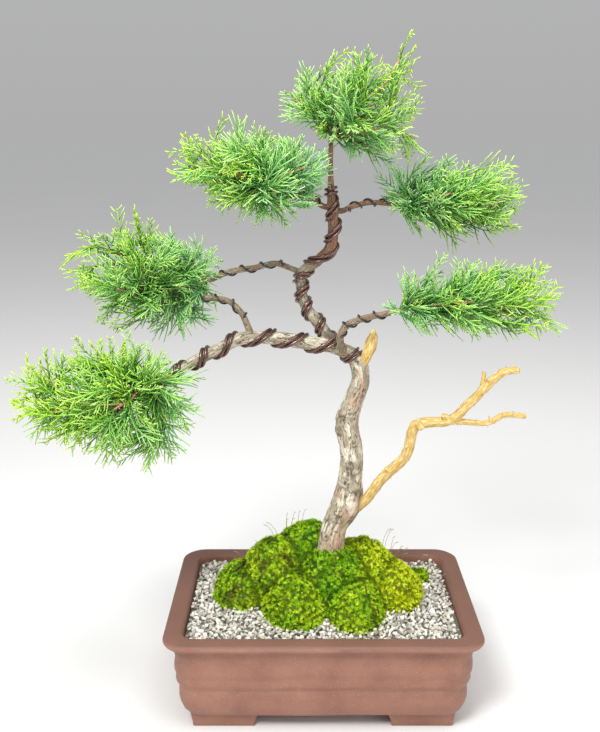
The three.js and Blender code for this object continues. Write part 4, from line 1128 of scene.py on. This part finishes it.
def gravel():
    """The frame's own sheet, a little lower and painted dark as painted shade between the stones,
    under layers of loose stones.
    """
    rng = np.random.default_rng(SEEDS["gravel"])
    stones = stone_kinds(rng)
    shape = Shape()
    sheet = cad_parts["gravel"].data
    corners = values_of(sheet.loops, "vertex_index", 1, int)
    shape.add(points_of(sheet) - [0, 0, SHEET_SETTLED], [corners.reshape(-1, 3)], lot=0.0)
    for spacing, level, lightness_with_shade in GRIT_LAYERS:
        pitch = GRIT_SIZE * spacing
        for i, j in np.ndindex(int(RIM_LENGTH / pitch), int(RIM_WIDTH / pitch)):
            x = (i + 0.5 * (j % 2)) * pitch - RIM_LENGTH / 2 + rng.uniform(-0.4, 0.4) * pitch
            y = j * pitch - RIM_WIDTH / 2 + rng.uniform(-0.4, 0.4) * pitch
            half = GRIT_SIZE * rng.uniform(0.4, 0.64)
            outside = outside_moss(np.array([[x, y, GRIT_LOW + 3]]))[0]
            if not in_bed(x, y, half * 0.8) or outside < -1:
                continue
            heap = GRIT_RISE * max(0, 1 - outside / HEAP_REACH) * rng.uniform(0.3, 1)
            points, faces = stones[rng.integers(len(stones))]
            z = min(GRIT_LOW + level + heap + rng.uniform(-0.6, 0.6),
                    RIM_HEIGHT - 0.5 - half * 0.8)
            shape.add(turned(points * half, rng) + [x, y, z], [faces],
                      lot=rng.uniform(0.1, 1) * lightness_with_shade)
    finish_piece("grit", shape.mesh("grit"), GRIT, ["gravel"], smooth=False)


# Wood

def add_limb(shape, stations, flatness):
    line = limb_line(stations)
    angles = FULL_TURN * np.arange(LIMB_SIDES)[:, None] / LIMB_SIDES
    ring = swing(angles, flatness * line["front"][:, None], line["side"][:, None])
    rings = line["centre"][:, None] + line["radius"][:, None, None] * ring
    shape.add(rings.reshape(-1, 3), tube_faces(len(rings), LIMB_SIDES))


def nearest_on_limbs(points, limbs):
    """For each point: its grain (round and along its limb), and the limb's radius there."""
    best = np.full(len(points), 1e9)
    grain, radius = np.zeros((len(points), 3)), np.zeros(len(points))
    for number, stations in enumerate(limbs):
        line = limb_line(stations)
        for start in range(0, len(points), 4000):
            part = slice(start, start + 4000)
            offset = points[part, None] - line["centre"]
            distance = np.linalg.norm(offset, axis=2) - line["radius"]
            i = distance.argmin(1)
            rows = np.arange(len(i))
            closest = distance[rows, i]
            better = closest < best[part]
            away = unit(offset[rows, i])
            around = np.stack([
                (away * line["front"][i]).sum(1) * line["radius"][i],
                (away * line["side"][i]).sum(1) * line["radius"][i],
                0.22 * (line["travelled"][i] + (offset[rows, i] * line["along"][i]).sum(1))
                + 40.0 * number,
            ], 1)
            best[part] = np.where(better, closest, best[part])
            grain[part] = np.where(better[:, None], around, grain[part])
            radius[part] = np.where(better, line["radius"][i], radius[part])
    return grain, radius


def wood_mesh(name, limbs, voxel, flatness=1.0):
    """One skin over limbs that grow out of each other, its points, their grain and radii."""
    shape = Shape()
    for stations in limbs:
        add_limb(shape, stations, flatness)
    mesh = modified(
        shape, name,
        ("REMESH", {"mode": "VOXEL", "voxel_size": voxel * MM}),
        ("SMOOTH", {"factor": 0.5, "iterations": 3}),
    )
    points = points_of(mesh)
    grain, radius = nearest_on_limbs(points, limbs)
    store(mesh, "grain", grain)
    return mesh, points, grain, radius


def carve(mesh, relief, depth):
    """Moves a mesh's points along their normals by a relief of 0 to 1, 0.5 being no move."""
    moves = values_of(mesh.vertex_normals, "vector") * ((relief - 0.5) * depth)[:, None]
    mesh.vertices.foreach_set("co", in_frame(points_of(mesh) + moves).ravel())
    mesh.update()
    store(mesh, "relief", relief)


def knots(points, front):
    """Relief and darkness of the knots on the trunk's front, each a ring round a hollow heart."""
    relief, dark = np.zeros((2, len(points)))
    for x, z, size in KNOTS:
        away = np.hypot(points[:, 0] - x, 0.75 * (points[:, 2] - z)) / size
        away += 0.3 * noise_at(points, 5, size)
        ring = np.where(front & (away < 2), np.exp(-(away - 0.85) ** 2 * 9), 0)
        heart = np.where(front, np.exp(-away ** 2 * 6), 0)
        relief += 0.55 * ring - 0.3 * heart
        dark = np.maximum(dark, (0.75 * ring + 0.7 * heart) * (0.75 + noise_at(points, 4)))
    return relief, dark


def blushes(points, front):
    blush = np.zeros(len(points))
    for x, z, half_x, half_z in BLUSHES:
        away = np.hypot((points[:, 0] - x) / half_x, (points[:, 2] - z) / half_z)
        blush = np.maximum(blush, np.where(front, np.clip(1.6 - 1.3 * away, 0, 0.75), 0))
    return blush


def tree_wood():
    """Bark in plates with cracks between them, knots, and a collar where the trunk turns."""
    limbs = [TRUNK, LOW_BRANCH, LEADER, *SIDE_BRANCHES.values()]
    mesh, points, grain, radius = wood_mesh("tree", limbs, VOXELS["tree"])
    x, y, z = points.T
    flaky = grain * [1, 1, 2.6]
    plates = np.clip(5 * np.abs(noise_at(flaky, 9, 2.0)), 0, 1)
    relief, knot = knots(points, y < FRONT_SIDE)
    relief += 0.25 + 0.25 * plates + 0.4 * noise_at(flaky, 11, 5.0) + 0.2 * noise_at(flaky, 4, 9.0)
    on_trunk = radius > TRUNK_RADIUS
    collar = np.abs(z - COLLAR["z"] - 0.25 * (x - 25)) / COLLAR["size"]
    relief += on_trunk * (0.3 * np.exp(-(collar - 1) ** 2 * 3) - 0.25 * np.exp(-collar ** 2 * 5))
    knot = np.maximum(knot, 0.7 * on_trunk * np.exp(-collar ** 2) * (noise_at(points, 4) > -0.1))
    young = np.interp(z, YOUNG_BARK, [0, 1])
    young = np.maximum(young, 0.55 * np.clip(4.6 - radius, 0, 1))
    shade = 0.6 * np.clip((8.4 - radius) / 4.5, 0.25 * (z > 297), 1) * (1 - 0.8 * young)
    store(mesh, "young", young)
    store(mesh, "foot", 0.9 * np.interp(z - 1.2 * x, TRUNK_FOOT, [1, 0]) * on_trunk)
    store(mesh, "knot", np.maximum(knot, shade))
    store(mesh, "blush", blushes(points, y < FRONT_SIDE))
    carve(mesh, np.clip(relief, 0, 1.4), 0.15 * np.clip(radius, 2.5, 13))
    finish_piece("living_wood", mesh, BARK, ["tree_wood"])


def bare_wood(name, node, limbs, voxel, flatness=1.0):
    mesh, points, grain, radius = wood_mesh(name, limbs, voxel, flatness)
    torn = np.clip(noise_at(points, 3.2, 12.0) - 0.3, 0, 1)
    relief = 0.5 + 0.3 * noise_at(points, 8, 3.0) + 0.15 * noise_at(grain, 2.4, 6.0) + 0.9 * torn
    carve(mesh, np.clip(relief, 0, 1.3), 0.34 * np.clip(radius, 1.6, 5))
    finish_piece(name, mesh, BARE_WOOD, [node])


def splinters():
    """Short torn fibres that stand off the bare branch."""
    rng = np.random.default_rng(SEEDS["splinters"])
    shape = Shape()
    for stations, count in ((BARE_BRANCH, 90), (BARE_FORK, 60)):
        line = limb_line(stations)
        i = rng.integers(4, len(line["centre"]) - 1, count)
        away = swing(rng.uniform(0, FULL_TURN, (count, 1)), line["front"][i], line["side"][i])
        ahead = line["along"][i] * rng.choice([-1, 1], (count, 1))
        root = line["centre"][i] + 0.86 * line["radius"][i, None] * away
        middle = root + rng.uniform(0.6, 1.3, (count, 1)) * (away + 0.7 * ahead)
        tip = middle + rng.uniform(0.5, 1.7, (count, 1)) * unit(away + rng.normal(0, 0.8, away.shape))
        points, faces, _ = tubes(np.stack([root, middle, tip], 1), SPLINTER_RADII, 4)
        shape.add(points, faces, relief=0.7, grain=points / 3)
    finish_piece("splinters", shape.mesh("splinters"), BARE_WOOD)


# Wire

def places_on(line, axis, turns):
    """Turns with the distance travelled where the line first crosses each turn's x, y or z."""
    places = []
    for turn, value in turns:
        reached = line["centre"][:, axis] - value
        i = int(np.argmax(reached[:-1] * reached[1:] <= 0))
        share = reached[i] / (reached[i] - reached[i + 1])
        places.append([turn, np.interp(share, [0, 1], line["travelled"][i:i + 2])])
    return places


def winding(line, places, hand, aside, wire_radius):
    """Points of a wire wound on a limb, so far aside of where its turns cross places.

    The places are turns and distances travelled. Aside is measured square to the wire.
    """
    turns, travelled = np.array(places, float).T
    count = int(round((turns[-1] - turns[0]) * STEPS_PER_TURN))
    turn = np.linspace(turns[0], turns[-1], count + 1)
    at = np.interp(turn, turns, travelled)
    evened(at, 8)
    radius = np.interp(at, line["travelled"], line["radius"])
    slope = np.gradient(at, turn * FULL_TURN) / (radius + wire_radius)
    at += aside * np.hypot(1, slope)

    def mix(key):
        return np.stack([np.interp(at, line["travelled"], column) for column in line[key].T], 1)

    radius = np.interp(at, line["travelled"], line["radius"])
    reach = (radius * 1.03 + wire_radius + 0.1)[:, None]
    angle = (FULL_TURN * turn * hand)[:, None]
    return mix("centre") + reach * swing(angle, unit(mix("front")), unit(mix("side")))


def wire_piece(name, node, path, radius, look):
    path = np.array(path)
    evened(path, 2)
    radii = np.full(len(path), float(radius))
    radii[[0, -1]] *= 0.75
    shape = Shape()
    shape.add(*tubes(path[None], radii, WIRE_SIDES)[:2])
    finish_piece(name, shape.mesh(name), look, [node])


def bridge(start, end):
    """The stretch where a wire leaves one limb for the next, as an even curve."""
    leave, arrive = BRIDGE_REACH * unit(np.array([start[-1] - start[-3], end[2] - end[0]]))
    t = np.linspace(0, 1, 12)[1:-1, None]
    return ((2 * t ** 3 - 3 * t ** 2 + 1) * start[-1] + (3 * t ** 2 - 2 * t ** 3) * end[0]
            + (t ** 3 - 2 * t ** 2 + t) * leave + (t ** 3 - t ** 2) * arrive)


def wires():
    low, leader = limb_line(LOW_BRANCH), limb_line(LEADER)
    for letter, side in (("a", -1), ("b", 1)):
        aside = side * PAIR_SPACING / 2
        back, anchor = (winding(low, places_on(low, 0, turns), -1, aside, WIRE_RADIUS)
                        for turns in (LOW_BRANCH_TURNS, ANCHOR_TURNS))
        rise = winding(leader, places_on(leader, 2, LEADER_TURNS), 1, aside, WIRE_RADIUS)
        whole = [*back[::-1], *bridge(back[::-1], rise), *rise]
        for part, path in (("long_" + letter, whole), ("anchor_" + letter, anchor)):
            wire_piece("copper_" + part, "wire_" + part, path, WIRE_RADIUS, COPPER_WIRE)
    for name, (start, end, turns) in THIN_WIRES.items():
        line = limb_line(SIDE_BRANCHES[name])
        places = [[0, start * line["travelled"][-1]], [turns, end * line["travelled"][-1]]]
        wire_piece("black_" + name, "wire_thin_" + name,
                   winding(line, places, 1, 0, THIN_WIRE_RADIUS), THIN_WIRE_RADIUS, BLACK_WIRE)


# Foliage

def outline_reach(pad, angles):
    """How far a pad's outline is from its middle, at each angle in the front view."""
    corners = np.array(pad["outline"], float) - np.array(pad["middle"])[[0, 2]]
    edges = np.roll(corners, -1, axis=0) - corners
    way = np.stack([np.cos(angles), np.sin(angles)], 1)[:, None]
    cross = way[..., 0] * edges[:, 1] - way[..., 1] * edges[:, 0]
    distance = (corners[:, 0] * edges[:, 1] - corners[:, 1] * edges[:, 0]) / cross
    share = (corners[:, 0] * way[..., 1] - corners[:, 1] * way[..., 0]) / cross
    hit = (distance > 0) & (share >= 0) & (share <= 1)
    return np.where(hit, distance, 0).max(1)


def pad_points(pad, count, nearest, furthest):
    """Places spread evenly in a pad, and how far out each is, as shares of its edge."""
    spread = np.arange(1, count + 1)[:, None] / PLASTIC ** np.arange(1, 4) % 1
    wide, high = np.ptp(np.array(pad["outline"]), axis=0)
    turn = FULL_TURN * spread[:, 0]
    angles = np.arctan2(high * np.sin(turn), wide * np.cos(turn))
    depth = 2 * spread[:, 1] - 1
    share = (nearest ** 2 + (furthest ** 2 - nearest ** 2) * spread[:, 2]) ** 0.5
    level = np.sqrt(1 - depth ** 2) * outline_reach(pad, angles) * share
    return np.array(pad["middle"]) + np.stack(
        [level * np.cos(angles), depth * pad["depth"] * share, level * np.sin(angles)], 1), share


def outward_of(pad, points):
    """Directions square to the pad's surface, taken as a squashed ball."""
    wide, high = np.ptp(np.array(pad["outline"]), axis=0) / 2
    return unit((points - pad["middle"]) / np.square([wide, pad["depth"], high]))


def grow(tips, outward, buds, headings, length, stations, sway, rng):
    """Curved shoots from the best bud for each tip, some leaning along the pad's surface."""
    reach = tips[:, None] - buds[None]
    distance = np.linalg.norm(reach, axis=2)
    ahead = (reach * headings).sum(2) / distance
    out = (reach * outward[:, None]).sum(2) / distance
    wanted = rng.uniform(0.25, 1, (len(tips), 1))
    strain = np.abs(distance - length) + length * (
        np.abs(ahead - math.cos(SHOOT_ANGLE)) + 0.7 * np.abs(out - wanted))
    chosen = (strain + rng.uniform(0, 0.4 * length, strain.shape)).argmin(1)
    start, heading = buds[chosen], headings[chosen]
    span = np.linalg.norm(tips - start, axis=1, keepdims=True)
    elbow = start + 0.14 * span * heading + 0.42 * (tips - start)
    elbow += span * (rng.normal(0, sway, tips.shape) - [0, 0, 0.03])
    t = np.asarray(stations)[None, :, None]
    return (1 - t) ** 2 * start[:, None] + 2 * t * (1 - t) * elbow[:, None] + t ** 2 * tips[:, None]


def along_paths(paths, shares):
    """Points and directions at shares of each path's stations."""
    spots = np.broadcast_to(shares, (len(paths), np.shape(shares)[-1])) * (paths.shape[1] - 1)
    low = np.minimum(spots.astype(int), paths.shape[1] - 2)
    rows = np.arange(len(paths))[:, None]
    ahead = paths[rows, low + 1] - paths[rows, low]
    return paths[rows, low] + (spots - low)[..., None] * ahead, unit(ahead)


def side_shoots(roots, ways, wide, lengths, angle, curl):
    """Short shoots that lean forward as they grow. Gives paths of three stations."""
    way = unit(swing(angle, ways, wide))
    middle = roots + 0.5 * lengths * way
    end = middle + 0.5 * lengths * unit(way + curl * ways)
    return np.stack([roots, middle, end], 2)


class Pad:
    """One pad of foliage: twigs, boughs that grow from them, and sprays on both."""

    def __init__(self, pad, seed):
        self.pad, self.seed = pad, seed
        self.rng = np.random.default_rng(seed)
        self.shape = Shape()

    def add(self, paths, radii, sides, low, high, lot, wood=0.0):
        """Threads with tones from low to high. Low, high and lot may be one value for each path."""
        paths = paths.reshape(-1, *paths.shape[-2:])
        points, faces, along = tubes(paths, radii, sides)
        each = paths.shape[1] * sides
        low, high, lot = (np.repeat(np.broadcast_to(v, len(paths)), each)
                          for v in (low, high, lot))
        self.shape.add(points, faces, tip=np.clip(low + (high - low) * along, 0, 1), lot=lot,
                       wood=np.clip(wood * (1.25 - along), 0, 1))

    def lots(self, tips):
        """How warm the green is: warmer towards the end that grows."""
        offset = (tips - self.pad["middle"])[:, [0, 2]] / np.ptp(self.pad["outline"], axis=0)
        outward = offset @ unit(np.array(self.pad["growth"]))
        return np.clip(self.pad["warmth"] + 0.75 * outward + 0.45 * noise_at(tips, 34, self.seed)
                       + self.rng.normal(0, 0.15, len(tips)), 0, 1)

    def twigs(self):
        buds, headings = [], []
        for i, twig in enumerate(self.pad["twigs"]):
            radii = np.linspace(TWIG_RADII[0] * (0.8 if i else 1), TWIG_RADII[1], len(twig))
            line = spline(np.column_stack([twig, radii]), 3)
            self.add(line[None, :, :3], line[:, 3], 8, 0, 0, 0.5, wood=8.0)
            buds.append(line[1:, :3])
            headings.append(unit(np.diff(line[:, :3], axis=0)))
        return np.concatenate(buds), np.concatenate(headings)

    def boughs(self, buds, headings):
        tips, _ = pad_points(self.pad, BOUGHS, 0.45, 0.86)
        boughs = grow(tips, outward_of(self.pad, tips), buds, headings, BOUGH_LENGTH,
                      np.linspace(0, 1, 9), 0.06, self.rng)
        radii = np.linspace(*BOUGH_RADII, boughs.shape[1])
        self.add(boughs, radii, 5, 0.1, 0.6, self.lots(tips), wood=1.0)
        places, ways = along_paths(boughs, np.linspace(0.15, 0.95, 10))
        return (np.concatenate([buds, places.reshape(-1, 3)]),
                np.concatenate([headings, ways.reshape(-1, 3)]))

    def sprays(self, buds, headings):
        """Long threads, each with a fan of side threads, and on a few fans knuckles."""
        rng, count = self.rng, self.pad["sprays"]
        tips, share = pad_points(self.pad, count, 0.35, 1.05)
        outward = outward_of(self.pad, tips)
        sprays = grow(tips, outward, buds, headings, SPRAY_LENGTH, SPRAY_STATIONS, 0.1, rng)
        lot = self.lots(tips)
        # Painted shade: sprays deep in the pad start darker, and their roots and the side threads
        # near them stay darker than the tips.
        root = np.clip(0.7 * share - 0.35, 0, 1)
        self.add(sprays, SPRAY_RADII, 3, root, root + 0.65, lot)
        spread = np.clip(lot - 0.15 + rng.normal(0, 0.25, count), 0, 1)[:, None]
        places = np.linspace(0.12, 0.72 + 0.23 * spread.ravel(), SHOOTS).T
        shoots = self.fans(sprays, places, spread, outward)
        start = (root[:, None] + 0.35 * places).ravel()
        self.add(shoots, SHOOT_RADII, 3, start, start + 0.52, np.repeat(lot, SHOOTS))
        chosen = rng.uniform(size=count) < KNUCKLED_SHARE
        self.knuckles(shoots[chosen].reshape(-1, 3, 3), np.repeat(lot[chosen], SHOOTS))

    def fans(self, sprays, places, spread, outward):
        """Side threads in a plane for each spray: short and wide apart, or long and lax."""
        rng = self.rng
        roots, ways = along_paths(sprays, places)
        face = unit(0.8 * outward - 0.8 * FRONT * np.sign(outward[:, 1:2])
                    + rng.normal(0, 0.6, outward.shape))
        wide = unit(np.cross(ways, face[:, None]))
        wide *= np.where(np.arange(SHOOTS) % 2, 1.0, -1.0)[:, None]
        wide = unit(wide + rng.normal(0, 0.2, wide.shape))
        spans = np.linalg.norm(sprays[:, -1] - sprays[:, 0], axis=1)[:, None]
        short = 0.4 * (1.12 - places) ** 0.6
        lax = 0.8 * (1.05 - places)
        size = spans * (lax + (short - lax) * spread) * rng.uniform(0.55, 1.25, places.shape)
        size = np.clip(size, *SHOOT_LENGTHS)[..., None]
        angle = NARROW_ANGLE + (SHOOT_ANGLE - NARROW_ANGLE) * spread
        angle = angle + rng.normal(0, 0.12, places.shape)
        return side_shoots(roots, ways, wide, size, angle[..., None], 0.2)

    def knuckles(self, shoots, lot):
        """Short stubs on both sides of side threads, as on new growth."""
        rng = self.rng
        roots, ways = along_paths(shoots, [0.4, 0.7])
        wide = unit(np.cross(ways, FRONT + rng.normal(0, 0.3, (len(shoots), 1, 3))))
        for side in (-1, 1):
            ends = roots + rng.uniform(*KNUCKLE_LENGTHS, (*roots.shape[:2], 1)) * unit(
                ways + side * wide)
            self.add(np.stack([roots, ends], 2), KNUCKLE_RADII, 3, 0.55, 1.0,
                     np.repeat(np.clip(lot + 0.3, 0, 1), 2))


def foliage(name, pad, seed):
    grown = Pad(pad, seed)
    grown.sprays(*grown.boughs(*grown.twigs()))
    finish_piece("spray_" + name, grown.shape.mesh(name), FOLIAGE, ["foliage_" + name])


# Stage

def light(name, place, size, energy):
    lamp = bpy.data.lights.new(name, "AREA")
    lamp.shape = "DISK"
    lamp.size = size
    lamp.energy = energy
    holder = linked(name, lamp)
    holder.location = place
    aim = Vector(LIGHT_AIM) - holder.location
    holder.rotation_euler = aim.to_track_quat("-Z", "Y").to_euler()


def sky():
    """Light from all round, paler overhead, that meets the far floor in one tone."""
    world = bpy.data.worlds.new("studio")
    world.use_nodes = True
    nodes, links = world.node_tree.nodes, world.node_tree.links
    height = nodes.new("ShaderNodeSeparateXYZ")
    tone = nodes.new("ShaderNodeValToRGB")
    links.new(nodes.new("ShaderNodeTexCoord").outputs["Generated"], height.inputs["Vector"])
    links.new(height.outputs["Z"], tone.inputs["Fac"])
    links.new(tone.outputs["Color"], nodes["Background"].inputs["Color"])
    for element, colour in zip(tone.color_ramp.elements, (SKY_HORIZON, SKY_OVERHEAD)):
        element.color = (*colour, 1)
    bpy.context.scene.world = world


def stage():
    mesh = bpy.data.meshes.new("floor")
    corners = [(x, y, 0) for x, y in FLOOR_REACH * np.array([(-1, -1), (1, -1), (1, 1), (-1, 1)])]
    mesh.from_pydata(corners, [], [(0, 1, 2, 3)])
    mesh.materials.append(FLOOR)
    linked("floor", mesh)
    for name, settings in LIGHTS.items():
        light(name, *settings)
    sky()
    bpy.context.scene.view_settings.view_transform = "Standard"


def camera():
    data = bpy.data.cameras.new("camera")
    data.sensor_width = SENSOR
    data.lens = SENSOR * FOCAL_SHARE
    holder = linked("camera", data)
    holder.location = in_frame(CAMERA_PLACE)
    holder.rotation_euler = (math.pi / 2 - CAMERA_DOWN, 0, 0)
    bpy.context.scene.camera = holder


camera()
stage()
pot()
for node in ("drain_screen_left", "drain_screen_right"):
    drain_screen(node)
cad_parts["soil"].data.materials.clear()
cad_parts["soil"].data.materials.append(SOIL)
gravel()
moss_mound()
moss_tuft()
moss_stalks()
tree_wood()
bare_wood("peeled_branch", "bare_branch", [BARE_BRANCH, BARE_FORK, BARE_TWIG, *BARE_KNOBS],
          VOXELS["branch"])
bare_wood("peeled_stub", "bare_stub", [BARE_STUB], VOXELS["stub"], STUB_FLATNESS)
splinters()
wires()
for number, (name, pad) in enumerate(PADS.items()):
    foliage(name, pad, SEEDS["foliage"] + number)
